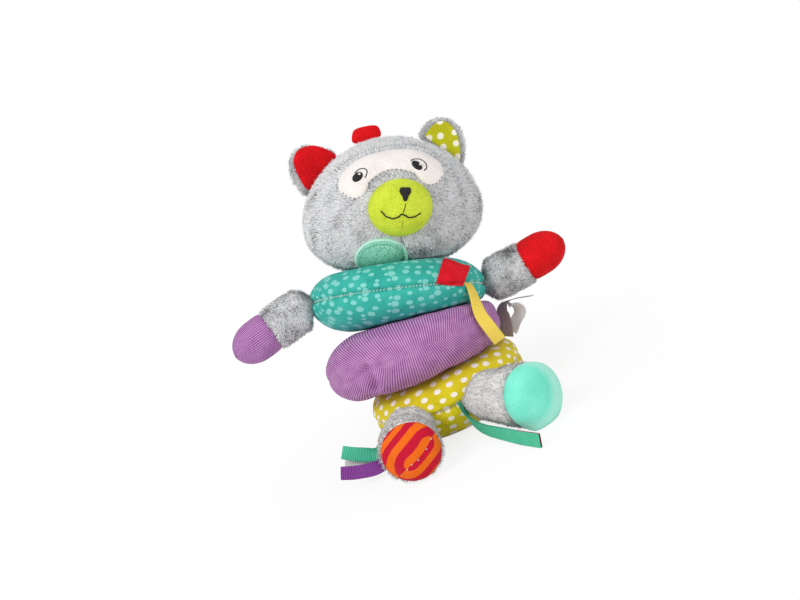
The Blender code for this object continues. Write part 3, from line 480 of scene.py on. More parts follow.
# %% Sole print
def banded(name, first, second, dome, spacing, slit):
    """Bands of two colours round a slit, narrower towards the rim; its two sides start with either colour."""
    material, tree, shader = new_finish(name, 0.85, 0.1, first)
    flat = add(tree, "TexCoord").outputs["UV"]
    split = add(tree, "SeparateXYZ", [(0, flat)]).outputs
    past_slit = sums(tree, "MAXIMUM", sums(tree, "SUBTRACT", sums(tree, "ABSOLUTE", split[0]), slit), 0.0)
    past_end = sums(tree, "MULTIPLY", past_slit, 0.75)
    joined = add(tree, "CombineXYZ", [(0, past_end), (1, split[1])])
    away = add(tree, "VectorMath", [(0, joined.outputs[0])], operation="LENGTH").outputs["Value"]
    ink = add(tree, "TexNoise", [("Vector", flat)], Scale=500.0, Detail=2.0)
    wide = sums(tree, "ADD", away, sums(tree, "MULTIPLY", ink.outputs[0], 0.0006))
    steep = sums(tree, "MULTIPLY", sums(tree, "ARCSINE", sums(tree, "DIVIDE", wide, dome)), dome / spacing)
    turns = sums(tree, "ADD", steep, sums(tree, "GREATER_THAN", split[1], 0.0))
    rings = sums(tree, "SINE", sums(tree, "MULTIPLY", turns, math.pi))
    crisp = add(tree, "MapRange", [("Value", rings)])
    crisp.inputs["From Min"].default_value = -0.12
    crisp.inputs["From Max"].default_value = 0.12
    nap = use_group(tree, pile, Fine=1400.0, Cloud=120.0)
    mixed = tree.nodes.new("ShaderNodeMix")
    mixed.data_type = "RGBA"
    tree.links.new(crisp.outputs[0], mixed.inputs["Factor"])
    mixed.inputs["A"].default_value = first
    mixed.inputs["B"].default_value = second
    shaded = tree.nodes.new("ShaderNodeMix")
    shaded.data_type, shaded.blend_type = "RGBA", "MULTIPLY"
    shaded.inputs["Factor"].default_value = 0.35
    tree.links.new(mixed.outputs["Result"], shaded.inputs["A"])
    tree.links.new(nap.outputs["Mask"], shaded.inputs["B"])
    tree.links.new(shaded.outputs["Result"], shader.inputs["Base Color"])
    rough(tree, shader, nap.outputs["Mask"], 0.95, 0.78)
    bump(tree, shader, nap.outputs["Height"], 0.0004)
    return material


striped_sole = banded("striped_sole", srgb(255, 116, 16), srgb(214, 12, 54), 0.025, 0.0050, 0.0065)

# %% [markdown]
# Small hard-wearing bits: black stitched features, hook and loop discs, a webbing strap, sewing thread. Each
# has its own fine structure, such as thread over thread on the nose or loops on the discs.

# %% Finishes of the small pieces
def threaded(name, dark, pale, per_metre, depth, roughness=(0.75, 0.5), slant=0.35):
    """Satin stitch or tight webbing: fine threads side by side across the piece."""
    material, tree, shader = new_finish(name, 0.6, 0.1, pale)
    where = add(tree, "Mapping", [("Vector", add(tree, "TexCoord").outputs["Object"])])
    where.inputs["Rotation"].default_value = (0.0, slant, 0.0)
    threads = add(tree, "TexWave", [("Vector", where.outputs[0])], Scale=per_metre, Distortion=1.5, Detail=1.0,
                  bands_direction="Z")
    tree.links.new(ramp(tree, threads.outputs[1], (0.1, dark), (0.9, pale)), shader.inputs["Base Color"])
    rough(tree, shader, threads.outputs[1], *roughness)
    bump(tree, shader, threads.outputs[1], depth)
    return material


def looped(name, deep, pale, loops=900.0):
    """Hook and loop tape: small loops close together on a woven ground."""
    material, tree, shader = new_finish(name, 0.85, 0.3, pale)
    where = add(tree, "TexCoord").outputs["Object"]
    curls = add(tree, "TexVoronoi", [("Vector", where)], Scale=loops, feature="SMOOTH_F1")
    tree.links.new(ramp(tree, curls.outputs["Distance"], (0.1, pale), (0.75, deep)), shader.inputs["Base Color"])
    rough(tree, shader, curls.outputs["Distance"], 0.7, 0.95)
    bump(tree, shader, curls.outputs["Distance"], -0.0006)
    return material


black_stitch = threaded("black_stitch", srgb(6, 6, 8), srgb(36, 36, 40), 260.0, 0.00025)
dark_strap = threaded("dark_strap", srgb(150, 140, 138), srgb(196, 186, 184), 420.0, 0.0002, slant=1.1)
mint_loops = looped("mint_loops", srgb(96, 176, 150), srgb(164, 226, 203))
mint_rim = napped("mint_rim", srgb(160, 220, 198), srgb(206, 243, 228), fine=1600.0, depth=0.0003)
white_thread = threaded("white_thread", srgb(206, 202, 196), srgb(252, 250, 246), 900.0, 0.0001)
dark_thread = threaded("dark_thread", srgb(40, 36, 36), srgb(92, 86, 84), 900.0, 0.0001)
lime_thread = threaded("lime_thread", srgb(110, 130, 10), srgb(150, 172, 24), 900.0, 0.0001)
teal_thread = threaded("teal_thread", srgb(20, 96, 92), srgb(62, 142, 136), 900.0, 0.0001)
print("small finishes ready")

# %% [markdown]
# Grey plush is seen by its strands: dark at the root, silver at the tip. The strands get a map whose second
# direction runs from root to tip and whose first is a chance number, so each tuft has its own tone.

# %% Strand finish
PALEST_GAP = 0.12


def strand_finish(name, root, middle, tip, patch_scale=38.0, low=0.0, high=1.0, lift=0.0,
                  clouds=2.8):
    """low and high are heights above the floor between which the plush grows paler by lift."""
    material, tree, shader = new_finish(name, 0.75, 0.25, tip)
    flat = add(tree, "SeparateXYZ", [("Vector", add(tree, "TexCoord").outputs["UV"])])
    patches = add(tree, "TexNoise", [("Vector", add(tree, "TexCoord").outputs["Object"])], Scale=patch_scale,
                  Detail=3.0)
    chance = sums(tree, "MULTIPLY", sums(tree, "SUBTRACT", flat.outputs["X"], 0.5), 0.42)
    cloudy = sums(tree, "MULTIPLY", sums(tree, "SUBTRACT", patches.outputs[0], 0.5), clouds)
    height = add(tree, "SeparateXYZ", [("Vector", add(tree, "TexCoord").outputs["Object"])])
    paler = add(tree, "MapRange", [("Value", height.outputs["Z"])])
    paler.inputs["From Min"].default_value, paler.inputs["From Max"].default_value = low, high
    paler.inputs["To Min"].default_value, paler.inputs["To Max"].default_value = PALEST_GAP, lift
    along = sums(tree, "ADD", sums(tree, "ADD", flat.outputs["Y"], paler.outputs[0]),
                 sums(tree, "ADD", chance, cloudy))
    tree.links.new(ramp(tree, along, (0.0, root), (0.38, middle), (0.80, tip)), shader.inputs["Base Color"])
    rough(tree, shader, along, 0.9, 0.62)
    return material


DARK_ROOT, SILVER, TIP = srgb(84, 84, 90), srgb(208, 209, 211), srgb(240, 241, 242)
grey_strands = strand_finish("grey_strands", DARK_ROOT, SILVER, TIP, 50.0, lift=0.40, low=-1.0, high=0.0, clouds=5.5)
head_strands = strand_finish("head_strands", DARK_ROOT, SILVER, TIP, low=0.095, high=0.145, lift=0.80, clouds=4.2)
ear_strands = strand_finish("ear_strands", DARK_ROOT, SILVER, TIP, lift=0.40, low=-1.0, high=0.0)
leg_strands = strand_finish("leg_strands", srgb(150, 148, 150), srgb(246, 245, 243), srgb(254, 254, 253), lift=0.45,
                            low=-1.0, high=0.0, clouds=4.0)
white_strands = strand_finish("white_strands", srgb(240, 236, 234), srgb(252, 250, 248), srgb(254, 253, 252))
print("strand finishes ready")

# %% [markdown]
# Four cushions make the body. Each is two panels sewn together round their edge, so it is widest at the seam
# and fullest in the middle, and it is flat where it presses on the next one. The places, sizes and planes
# between the cushions are the solids' own. A shape is written as a function from a direction to a point.

# %% Places and planes
def leaning(centre, side, lean, turn=0):
    """The frame of a piece that leans sideways and back by these degrees."""
    turned = Matrix.Rotation(math.radians(side), 4, "Y") @ Matrix.Rotation(-math.radians(lean), 4, "X")
    return Matrix.Translation(centre) @ turned @ Matrix.Rotation(math.radians(turn), 4, "Z")


BASE_AT = leaning((0, 0, 0.022), 0, 0)
PURPLE_AT = leaning((-0.00911, 0.00642, 0.05376), 4, 12)
TEAL_AT = leaning((-0.00301, 0.01583, 0.08834), 20, 16)
HEAD_AT = leaning((0.01854, 0.02289, 0.14168), 16, 14, 2)
ROOM = 0.00145
HIPS = (Vector((-0.00405, 0.00285, 0.03612)), Vector((0.03432, 0.10459, 0.99392)), ROOM)
WAIST = (Vector((-0.00600, 0.01122, 0.07140)), Vector((0.20046, 0.24416, 0.94879)), ROOM)
NECK = (Vector((0.00417, 0.01819, 0.10612)), Vector((0.29833, 0.25897, 0.91866)), ROOM)
GROUND = (Vector((0, 0, 0)), Vector((0, 0, 1)), 0.0)


def below(plane):
    return plane[0], plane[1], plane[2]


def above(plane):
    return plane[0], -plane[1], plane[2]


def fullness(share, crown, edge):
    """How full a pillow is at a share of its radius: 1 at the crown, 0 at the seam."""
    return max(0.0, 1.0 - min(1.0, share) ** crown) ** edge


# %% Helpers for meshes
def points_of(piece):
    flat = np.empty(len(piece.data.vertices) * 3)
    piece.data.vertices.foreach_get("co", flat)
    return flat.reshape(-1, 3)


def set_points(piece, points):
    piece.data.vertices.foreach_set("co", np.asarray(points).ravel())
    piece.data.update()


def into(frame, points):
    """World points as seen from a frame."""
    m = np.array(frame.inverted())
    return points @ m[:3, :3].T + m[:3, 3]


def out_of(frame, points):
    m = np.array(frame)
    return points @ m[:3, :3].T + m[:3, 3]


def pressed(points, planes):
    """Points pushed back to their side of each plane, with room for a disc round its middle."""
    for anchor, normal, room in planes:
        n = np.array(normal)
        off = points - np.array(anchor)
        height = off @ n
        from_disc = np.linalg.norm(off - np.outer(height, n), axis=1)
        near = np.clip((0.024 - from_disc) / 0.006, 0, 1) if room else np.zeros(len(points))
        beyond = height + (room - 0.0002) * near + 0.0002 * (room > 0)
        points = points - np.outer(np.maximum(beyond, 0.0), n)
    return points


def ball(name, segments, ring_count, place):
    """A sphere whose points are moved: place takes the angle around and the share of the way from pole to pole."""
    deselect()
    bpy.ops.mesh.primitive_uv_sphere_add(segments=segments, ring_count=ring_count, radius=1.0)
    piece = bpy.context.object
    piece.name = name
    moved = [place(math.atan2(y, x), math.acos(max(-1.0, min(1.0, z))) / math.pi) for x, y, z in points_of(piece)]
    set_points(piece, np.array([tuple(p) for p in moved]))
    return outward(piece)


def smoother(piece, levels):
    """Subdivides a piece and applies it."""
    fine = piece.modifiers.new("Fine", "SUBSURF")
    fine.levels = fine.render_levels = levels
    return apply_all(piece)


def give(piece, material, slot, body, *nodes):
    piece.data.materials.clear()
    piece.data.materials.append(material)
    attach(piece, body)
    if nodes:
        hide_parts(*nodes)
    return piece


# %% [markdown]
# The filling does the rest. Blender's cloth is given pressure inside and no gravity, and it swells until it is
# round and wrinkled. The seam can't grow, while the cloth beside it can by a few percent: that is what
# makes the small puckers along a real seam. Each point's way is capped, so a cushion keeps its size.

# %% Filling by simulation
def fill(piece, seam, cap, slack=0.05, pressure=4.0):
    """Swells a closed cover. seam marks the points whose cloth doesn't grow."""
    choose(piece)
    start = points_of(piece).copy()
    group = piece.vertex_groups.new(name="seam")
    group.add([int(i) for i in np.nonzero(seam)[0]], 1.0, "REPLACE")
    cloth = piece.modifiers.new("Filling", "CLOTH")
    cloth.settings.quality = 6
    cloth.settings.mass = 0.15
    cloth.settings.use_pressure = True
    cloth.settings.uniform_pressure_force = pressure
    cloth.settings.vertex_group_shrink = "seam"
    cloth.settings.shrink_min = -slack
    cloth.settings.shrink_max = 0.01
    cloth.settings.effector_weights.gravity = 0.0
    for step in range(1, 21):
        scene.frame_set(step)
    bpy.ops.object.modifier_apply(modifier="Filling")
    scene.frame_set(1)
    piece.vertex_groups.clear()
    way = points_of(piece) - start
    length = np.linalg.norm(way, axis=1, keepdims=True)
    set_points(piece, start + way * np.minimum(1.0, cap / np.maximum(length, 1e-9)))
    print(piece.name, "swelled by up to", round(1000 * float(length.max()), 1), "mm")
    return piece


# %% Seams and maps of a round cushion
def chance_waves(around, seed, low, high, count=7):
    """A wavy line round a seam, from a few sine waves with chance phases."""
    dice = np.random.default_rng(seed)
    total = np.zeros_like(around)
    for _ in range(count):
        total += np.sin(around * dice.integers(low, high) + dice.uniform(0, 2 * math.pi)) * dice.uniform(0.4, 1)
    return total / count


def sew_in(piece, frame, axis, seed, depth=0.0009, width=0.0011, pucker=0.0005, spread=0.006, low=22, high=46, ease=0.0):
    """Pulls the seam in between the two panels and puckers the cloth beside it. axis is the panels' way."""
    local = into(frame, points_of(piece))
    flat = [i for i in range(3) if i != axis]
    off = local[:, axis] - (0.004 if axis == 1 else 0.0)
    around = np.arctan2(local[:, flat[1]], local[:, flat[0]])
    reach = np.linalg.norm(local[:, flat], axis=1)
    near = np.exp(-(off / width) ** 2)
    beside = np.exp(-np.abs(off) / spread) * (reach > 0.6 * reach.max())
    inward = depth * near + pucker * beside * (0.3 + chance_waves(around, seed, low, high) * 1.6)
    inward -= ease * np.exp(-(off / 0.011) ** 2) * (reach > 0.8 * reach.max())
    for i in flat:
        local[:, i] *= 1 - inward / np.maximum(reach, 1e-6)
    set_points(piece, out_of(frame, local))


def flat_map(piece, frame, axis, centre_off=0.0, stretch=1.28):
    """A UV map in metres over each panel as it was before it was sewn: its middle is the pole."""
    local = into(frame, points_of(piece))
    flat = [i for i in range(3) if i != axis]
    reach = np.linalg.norm(local[:, flat], axis=1)
    height = np.abs(local[:, axis] - centre_off)
    tilt = np.arctan2(reach, np.maximum(height, 1e-6) * 2.0) / (0.5 * math.pi)
    run = tilt * reach.max() * stretch
    u = local[:, flat[0]] / np.maximum(reach, 1e-6) * run
    v = local[:, flat[1]] / np.maximum(reach, 1e-6) * run
    layer = piece.data.uv_layers.active or piece.data.uv_layers.new(name="flat")
    corners = np.empty(len(piece.data.loops), dtype=np.int64)
    piece.data.loops.foreach_get("vertex_index", corners)
    layer.data.foreach_set("uv", np.stack([u[corners], v[corners]], axis=1).ravel())


# %% [markdown]
# The three body cushions are made by one recipe: sphere, shape, filling, pressing, finer mesh, seam, map. The
# base is flatter underneath, where it stands. Both panels and the loose fibre inside become one padded piece.

# %% Body cushions
CROWN = (3.4, 0.47)
SEATED = (6.0, 0.5)


def body_cushion(name, frame, radius, rise, drop, lower, planes, material, slot, seed, seam_depth=0.0009,
                 ease=0.0, soften=0):
    start = 0.0003

    def place(around, share):
        out = math.sin(math.pi * share)
        height = (rise - start) * fullness(out, *CROWN) if share < 0.5 else -(drop - start) * fullness(out, *lower)
        flat = Vector(((radius - start) * out * math.cos(around), (radius - start) * out * math.sin(around), height))
        return frame @ flat

    piece = ball(name, 72, 30, place)
    set_points(piece, pressed(points_of(piece), planes))
    seam = np.abs(into(frame, points_of(piece))[:, 2]) < 0.0004
    fill(piece, seam, 0.005)
    if soften:
        near = piece.vertex_groups.new(name="near_seam")
        for i, off in enumerate(into(frame, points_of(piece))[:, 2]):
            near.add([i], math.exp(-(off / 0.010) ** 2), "REPLACE")
        even = piece.modifiers.new("Even", "SMOOTH")
        even.factor, even.iterations, even.vertex_group = 0.6, soften, near.name
        apply_all(piece)
        piece.vertex_groups.clear()
    set_points(piece, pressed(points_of(piece), planes))
    smoother(piece, 2)
    sew_in(piece, frame, 2, seed, seam_depth, pucker=0.55 * seam_depth, ease=ease)
    set_points(piece, pressed(points_of(piece), planes))
    flat_map(piece, frame, 2)
    give(piece, material, slot, name.split("_")[0],
         *[f"{name.split('_')[0]}_{end}" for end in ("upper_panel", "lower_panel", "stuffing")])
    print(name, len(piece.data.polygons), "faces")
    return piece


base = body_cushion("base_cushion", BASE_AT, 0.051, 0.022, 0.0225, SEATED, (below(HIPS), above(GROUND)),
                    chartreuse_dots, "chartreuse_dots", 3)
purple = body_cushion("purple_cushion", PURPLE_AT, 0.058, 0.0255, 0.0275, CROWN, (above(HIPS), below(WAIST)),
                      purple_knit, "purple_knit", 5, 0.0003, 0.0014, 8)
teal = body_cushion("teal_cushion", TEAL_AT, 0.056, 0.023, 0.0245, CROWN, (above(WAIST), below(NECK)),
                    teal_dots, "teal_dots", 8, 0.0009, 0.0008)

# %% [markdown]
# A seam is closed with thread that shows as short slanted stitches. One stitch is a thin arched bead, modelled
# once from a small sphere, and every other stitch is a copy of it, set from one side of the seam to the other.

# %% Stitches
deselect()
bpy.ops.mesh.primitive_uv_sphere_add(segments=6, ring_count=5, radius=1.0)
bead = bpy.context.object
bead_points = points_of(bead).copy()
bead_faces = [tuple(face.vertices) for face in bead.data.polygons]
bpy.data.objects.remove(bead, do_unlink=True)


def surface_of(piece):
    return BVHTree.FromPolygons([tuple(p) for p in points_of(piece)], [tuple(f.vertices) for f in piece.data.polygons])


def sew(name, stitches, thickness, lift, material, slot, body):
    """Arched beads of thread. A stitch is its start, its end and the way out of the cloth there."""
    points, faces = [], []
    for start, end, normal in stitches:
        along = end - start
        ahead_way = along.normalized()
        side = normal.cross(ahead_way).normalized()
        top = ahead_way.cross(side)
        first = len(points)
        for x, y, z in bead_points:
            t = 0.5 * (z + 1)
            arch = lift * (1 - z * z)
            points.append(start + along * t + side * (0.5 * thickness * x) + top * (0.5 * thickness * y + arch))
        faces += [tuple(first + i for i in face) for face in bead_faces]
    data = bpy.data.meshes.new(name)
    data.from_pydata([tuple(p) for p in points], [], faces)
    data.shade_smooth()
    piece = bpy.data.objects.new(name, data)
    scene.collection.objects.link(piece)
    give(piece, material, slot, body)
    print(name, len(stitches), "stitches")
    return piece


def seam_stitches(piece, frame, radius, pitch, reach, turns, slant=0.32):
    """Stitches across the seam of a round cushion, from one angle to another in degrees."""
    tree = surface_of(piece)
    centre = frame.translation
    made = []
    start, end = (math.radians(t) for t in turns)
    count = int(abs(end - start) * radius / pitch)
    for i in range(count):
        a = start + (end - start) * i / count
        ends = []
        for sign in (-1, 1):
            b = a + sign * slant * pitch / radius
            guess = frame @ Vector((radius * math.cos(b), radius * math.sin(b), sign * reach))
            spot, normal, _, _ = tree.find_nearest(guess)
            ends.append(spot + normal * 0.00005)
        middle = 0.5 * (ends[0] + ends[1])
        made.append((ends[0], ends[1], (middle - centre).normalized()))
    return made


sew("teal_seam_thread", seam_stitches(teal, TEAL_AT, 0.056, 0.0023, 0.0006, (-178, 178)), 0.00062, 0.0006,
    white_thread, "teal_dots", "teal")
print("seams sewn")

# %% [markdown]
# The head is a cushion stood on its edge: a face panel and a back panel with the seam over the crown, and its
# outline is widest at the cheeks. Under the muzzle the face panel has a dart, a short seam that draws the
# cloth in and shapes the chin. It is carved after the filling, as every seam here is.

# %% Head
HEAD_WIDE, HEAD_HIGH, HEAD_FRONT, HEAD_BACK, SEAM_Y, CHEEKS = 0.058, 0.046, 0.046, 0.040, 0.004, 0.12
HEAD_CROWN = (2.2, 0.52)
DART_X, DART_TOP, DART_END = -0.0010, -0.0215, -0.0420


def outline(around, inset=0.0):
    wide = (HEAD_WIDE - inset) * (1 - CHEEKS * math.sin(around))
    return wide * math.cos(around), (HEAD_HIGH - inset) * math.sin(around)


def head_place(around, share):
    inset = 0.0016
    out = math.sin(math.pi * share)
    x, z = outline(around, inset)
    deep = -(HEAD_FRONT - inset) if share < 0.5 else HEAD_BACK - inset
    return HEAD_AT @ Vector((x * out, SEAM_Y + deep * fullness(out, *HEAD_CROWN), z * out))


head = ball("head_cover", 72, 36, head_place)
set_points(head, pressed(points_of(head), (above(NECK),)))
fill(head, np.abs(into(HEAD_AT, points_of(head))[:, 1] - SEAM_Y) < 0.0004, 0.0045, slack=0.04)
set_points(head, pressed(points_of(head), (above(NECK),)))
smoother(head, 2)
sew_in(head, HEAD_AT, 1, 13, depth=0.0012, pucker=0.0004)
local = into(HEAD_AT, points_of(head))
front = local[:, 1] < 0
along = np.clip((DART_TOP - local[:, 2]) / (DART_TOP - DART_END), 0, 1)
line = np.exp(-((local[:, 0] - DART_X) / 0.0016) ** 2) * np.sin(math.pi * along) ** 0.5 * front
wide_line = np.exp(-((local[:, 0] - DART_X) / 0.0060) ** 2) * np.sin(math.pi * along) * front
away = local / np.linalg.norm(local, axis=1, keepdims=True)
local -= away * (0.0026 * line + 0.0012 * wide_line)[:, None]
set_points(head, out_of(HEAD_AT, local))
set_points(head, pressed(points_of(head), (above(NECK),)))
give(head, grey_under, "grey_plush", "head", "head_face_panel", "head_back_panel", "head_stuffing")
head_tree = surface_of(head)
forward = -HEAD_AT.col[1].to_3d()
print("head cover", len(head.data.polygons), "faces")


# %% Where a spot of the picture or of the face lies on the toy
def in_picture(x, y, tree):
    """The point and the way out that are seen at a pixel of the picture."""
    eye = camera.matrix_world.translation
    way = (ahead * DISTANCE + right * (x - 400) * PIXEL + up * (300 - y) * PIXEL).normalized()
    spot, normal, _, _ = tree.ray_cast(eye, way)
    return spot, normal


def on_face(x, z, proud=0.0, tree=head_tree):
    """A point of the face, found from in front, and moved out from the cloth."""
    spot, normal, _, _ = tree.ray_cast(HEAD_AT @ Vector((x, -0.12, z)), -forward)
    if spot is None:
        spot, normal, _, _ = tree.find_nearest(HEAD_AT @ Vector((x, 0, z)))
    return spot + normal * proud


# %% [markdown]
# The goggle-shaped mask is a flat patch of white short plush sewn on the face. Its outline is two round lobes
# under the eyes and one arch above them. A grid is laid on the face between the lower and upper edge,
# with its rim tucked down into the grey, and it gets a slight thickness.

# %% Mask
MASK_WIDE = 0.0337


def mask_edges(x):
    top = 0.0160 + 0.0180 * fullness(abs(x) / MASK_WIDE, 2.6, 0.55)
    lobe = 0.0148 - 0.0096 * math.sqrt(max(0.0, 1 - ((abs(x) - 0.0247) / 0.0092) ** 2))
    bridge = 0.0192 - 0.0080 * min(1.0, abs(x) / 0.0190) ** 1.9
    bottom = min(lobe, bridge) if abs(x) > 0.0150 else bridge
    return min(bottom, top - 0.0004), top


def grid_piece(name, columns, rows, place, thickness=0.0, levels=1):
    """A grid laid by place, which takes the two shares across it; with a thickness it becomes a closed sheet."""
    deselect()
    bpy.ops.mesh.primitive_grid_add(x_subdivisions=columns, y_subdivisions=rows, size=1.0)
    piece = bpy.context.object
    piece.name = name
    spots = points_of(piece)[:, :2] + 0.5
    set_points(piece, np.array([tuple(place(min(1.0, max(0.0, s)), min(1.0, max(0.0, t)))) for s, t in spots]))
    layer = piece.data.uv_layers.active or piece.data.uv_layers.new(name="flat")
    points = points_of(piece)
    size = [np.linalg.norm(points[np.argmin(np.abs(spots - a).sum(1))] - points[np.argmin(np.abs(spots - b).sum(1))])
            for a, b in (((0, 0.5), (1, 0.5)), ((0.5, 0), (0.5, 1)))]
    for corner in piece.data.loops:
        s, t = spots[corner.vertex_index]
        layer.data[corner.index].uv = (s * size[0], t * size[1])
    bpy.ops.object.shade_smooth()
    if thickness:
        thick = piece.modifiers.new("Thick", "SOLIDIFY")
        thick.thickness, thick.offset = thickness, -1.0
    if levels:
        fine = piece.modifiers.new("Fine", "SUBSURF")
        fine.levels = fine.render_levels = levels
    return apply_all(piece)


def mask_place(s, t):
    x = -MASK_WIDE * math.cos(math.pi * s)
    low, high = mask_edges(x)
    rim = min(1.0, 5.0 * min(t, 1 - t), 7.0 * min(s, 1 - s))
    return on_face(x, low + (high - low) * t, 0.0004 + 0.0017 * math.sqrt(rim))


mask = grid_piece("white_mask", 48, 12, mask_place, 0.0016)
give(mask, white_plush, "white_felt", "head", "eye_mask")
mask_tree = surface_of(mask)
print("mask laid on the face")

# %% [markdown]
# The muzzle is a small dome of lime plush with its own filling. It is set on the face as an oval. The nose
# and the mouth are satin stitch, that is thread laid side by side, so they stand a little proud of the plush.

# %% Muzzle
MUZZLE_X, MUZZLE_Z, MUZZLE_WIDE, MUZZLE_HIGH, MUZZLE_OUT = 0.0015, -0.0045, 0.0210, 0.0184, 0.0150


def muzzle_place(around, share):
    out = math.sin(math.pi * share)
    x = MUZZLE_X + MUZZLE_WIDE * out * math.cos(around)
    z = MUZZLE_Z + MUZZLE_HIGH * out * math.sin(around)
    lift = 0.0012 + MUZZLE_OUT * fullness(out, 2.3, 0.55) if share < 0.5 else -0.0006
    spot = HEAD_AT @ Vector((x, SEAM_Y - HEAD_FRONT * fullness(math.hypot(x / HEAD_WIDE, z / HEAD_HIGH), 2.2, 0.52), z))
    return spot + forward * lift


muzzle = smoother(ball("muzzle_dome", 40, 24, muzzle_place), 1)
give(muzzle, lime_plush, "lime_plush", "head", "muzzle")
muzzle_tree = surface_of(muzzle)
print("muzzle", len(muzzle.data.polygons), "faces")


# %% A cord of thread along a line
def tube(name, points, radius, flat=1.0, ends=True, sides=8):
    """A closed tube through points; flat squeezes it towards the cloth. points are pairs of place and way out."""
    rows = []
    count = len(points)
    for i, (spot, normal) in enumerate(points):
        along = (points[min(i + 1, count - 1)][0] - points[max(i - 1, 0)][0]).normalized()
        side = along.cross(normal).normalized()
        top = side.cross(along)
        close = min(1.0, 0.35 + 1.5 * min(i, count - 1 - i)) if ends else 1.0
        rows.append([spot + close * radius * (side * math.cos(a) + top * flat * math.sin(a))
                     for a in (2 * math.pi * k / sides for k in range(sides))])
    data = bpy.data.meshes.new(name)
    verts = [tuple(p) for row in rows for p in row]
    faces = [(i * sides + k, i * sides + (k + 1) % sides, (i + 1) * sides + (k + 1) % sides, (i + 1) * sides + k)
             for i in range(count - 1) for k in range(sides)]
    faces += [tuple(range(sides))[::-1], tuple((count - 1) * sides + k for k in range(sides))]
    data.from_pydata(verts, [], faces)
    piece = bpy.data.objects.new(name, data)
    scene.collection.objects.link(piece)
    return smoother(outward(piece), 1)


def curve_through(knots, steps=6):
    """A smooth line through knots."""
    knots = [Vector(k) for k in knots]
    ends = [2 * knots[0] - knots[1], *knots, 2 * knots[-1] - knots[-2]]
    line = []
    for a, b, c, d in zip(ends, ends[1:], ends[2:], ends[3:]):
        for i in range(steps):
            t = i / steps
            line.append(0.5 * (2 * b + (c - a) * t + (2 * a - 5 * b + 4 * c - d) * t * t
                               + (3 * b - a - 3 * c + d) * t ** 3))
    return line + [knots[-1]]


def drawn(name, knots, tree, radius, material, slot, body, proud=0.0002, flat=0.6):
    """A thread drawn on the toy through spots of the picture."""
    line = []
    for k in curve_through([(x, y, 0) for x, y in knots]):
        spot, normal = in_picture(k.x, k.y, tree)
        if spot is not None:
            line.append((spot + normal * proud, normal))
    return give(tube(name, line, radius, flat), material, slot, body)


MOUTH_KNOTS = {
    "left": [(381.2, 210.4), (385.2, 215.6), (391.5, 218.4), (397.5, 217.4), (402.6, 213.4)],
    "right": [(402.6, 213.4), (407.6, 217.0), (413.5, 217.0), (421.2, 212.8)],
}
for side, knots in MOUTH_KNOTS.items():
    drawn("mouth_" + side, knots, muzzle_tree, 0.00040, black_stitch, "black_stitch", "head")
    path = curve_through([(x, y, 0) for x, y in knots], 2)
    for i, (a, b) in enumerate(zip(path, path[1:])):
        lift = Vector((0.1, -0.3, 0)) if i % 2 else Vector((-0.1, 0.2, 0))
        drawn(f"satin_{side}_{i}", [(a.lerp(b, 0.08) + lift)[:2], (a.lerp(b, 0.5) + lift)[:2], (a.lerp(b, 0.88) - lift)[:2]], muzzle_tree,
              0.00052, black_stitch, "black_stitch", "head", 0.0004)
drawn("nose_line", [(405.8, 203), (404.8, 208), (403, 213)], muzzle_tree, 0.00026, black_stitch, "black_stitch", "head")
drawn("muzzle_dart", [(402.8, 220), (402.4, 224), (402.2, 228)], muzzle_tree, 0.00022, lime_thread, "black_stitch",
      "head", 0.0)
print("mouth stitched")

# %% Nose
NOSE_MIDDLE = in_picture(405.3, 192.5, muzzle_tree)


def nose_place(around, share):
    """A triangle with round corners, its flat side up, that hugs the muzzle."""
    out = math.sin(math.pi * share)
    corner = 1.0 + 0.22 * math.cos(3 * (around + math.pi / 2)) + 0.05 * math.cos(11 * around)
    x, y = 405.3 + 5.5 * corner * out * math.cos(around), 193.2 - 7.2 * corner * out * math.sin(around)
    if y > 195:
        x += (405.6 - x) * 0.12
    spot, normal = in_picture(x, y, muzzle_tree)
    return spot + normal * (0.0013 * fullness(out, 3.0, 0.5) if share < 0.5 else -0.0004)


nose = smoother(ball("nose_satin", 24, 12, nose_place), 1)
give(nose, black_stitch, "black_stitch", "head", "nose")
print("nose sewn on")

# %% [markdown]
# The eyes are embroidered: a black oval, a white glint of thread high on it, and a thin lid line above. The
# eyes look to one side, so the ovals sit off the middle of the mask's lobes.

# %% Eyes
def dab(name, x, y, half_x, half_y, high, material, slot, turn=0.0, *nodes):
    """A padded oval of satin stitch at a spot of the picture."""
    def place(around, share):
        out = math.sin(math.pi * share)
        u, v = half_x * out * math.cos(around), half_y * out * math.sin(around)
        px = x + u * math.cos(turn) - v * math.sin(turn)
        py = y - (u * math.sin(turn) + v * math.cos(turn))
        spot, normal = in_picture(px, py, mask_tree)
        return spot + normal * (high * fullness(out, 2.4, 0.5) if share < 0.5 else -0.0003)
    return give(smoother(ball(name, 20, 10, place), 1), material, slot, "head", *nodes)


dab("left_eye", 357.6, 176.9, 6.4, 4.3, 0.0010, black_stitch, "black_stitch", math.radians(42), "left_pupil")
dab("right_eye", 417.0, 165.3, 6.4, 3.8, 0.0010, black_stitch, "black_stitch", math.radians(-38), "right_pupil")
for name, x, y in (("left_glint", 359.8, 174.6), ("right_glint", 420.0, 165.0)):
    dab(name, x, y, 1.6, 1.2, 0.0018, white_thread, "white_felt")
drawn("left_lid", [(354.6, 173.4), (358.4, 169.8), (363.6, 168.5), (366.9, 170.6), (366.7, 174.3), (364.8, 178.2)],
      mask_tree, 0.00036, black_stitch, "black_stitch", "head")
drawn("right_lid", [(410.4, 161.3), (413.5, 159.3), (420, 159.4), (425.2, 162.8), (426.6, 167.6), (423.8, 170.9)],
      mask_tree, 0.00036, black_stitch, "black_stitch", "head")
print("eyes embroidered")

# %% [markdown]
# Running stitches hold the mask: dark thread along its lower edge and a finer line just above its arch.

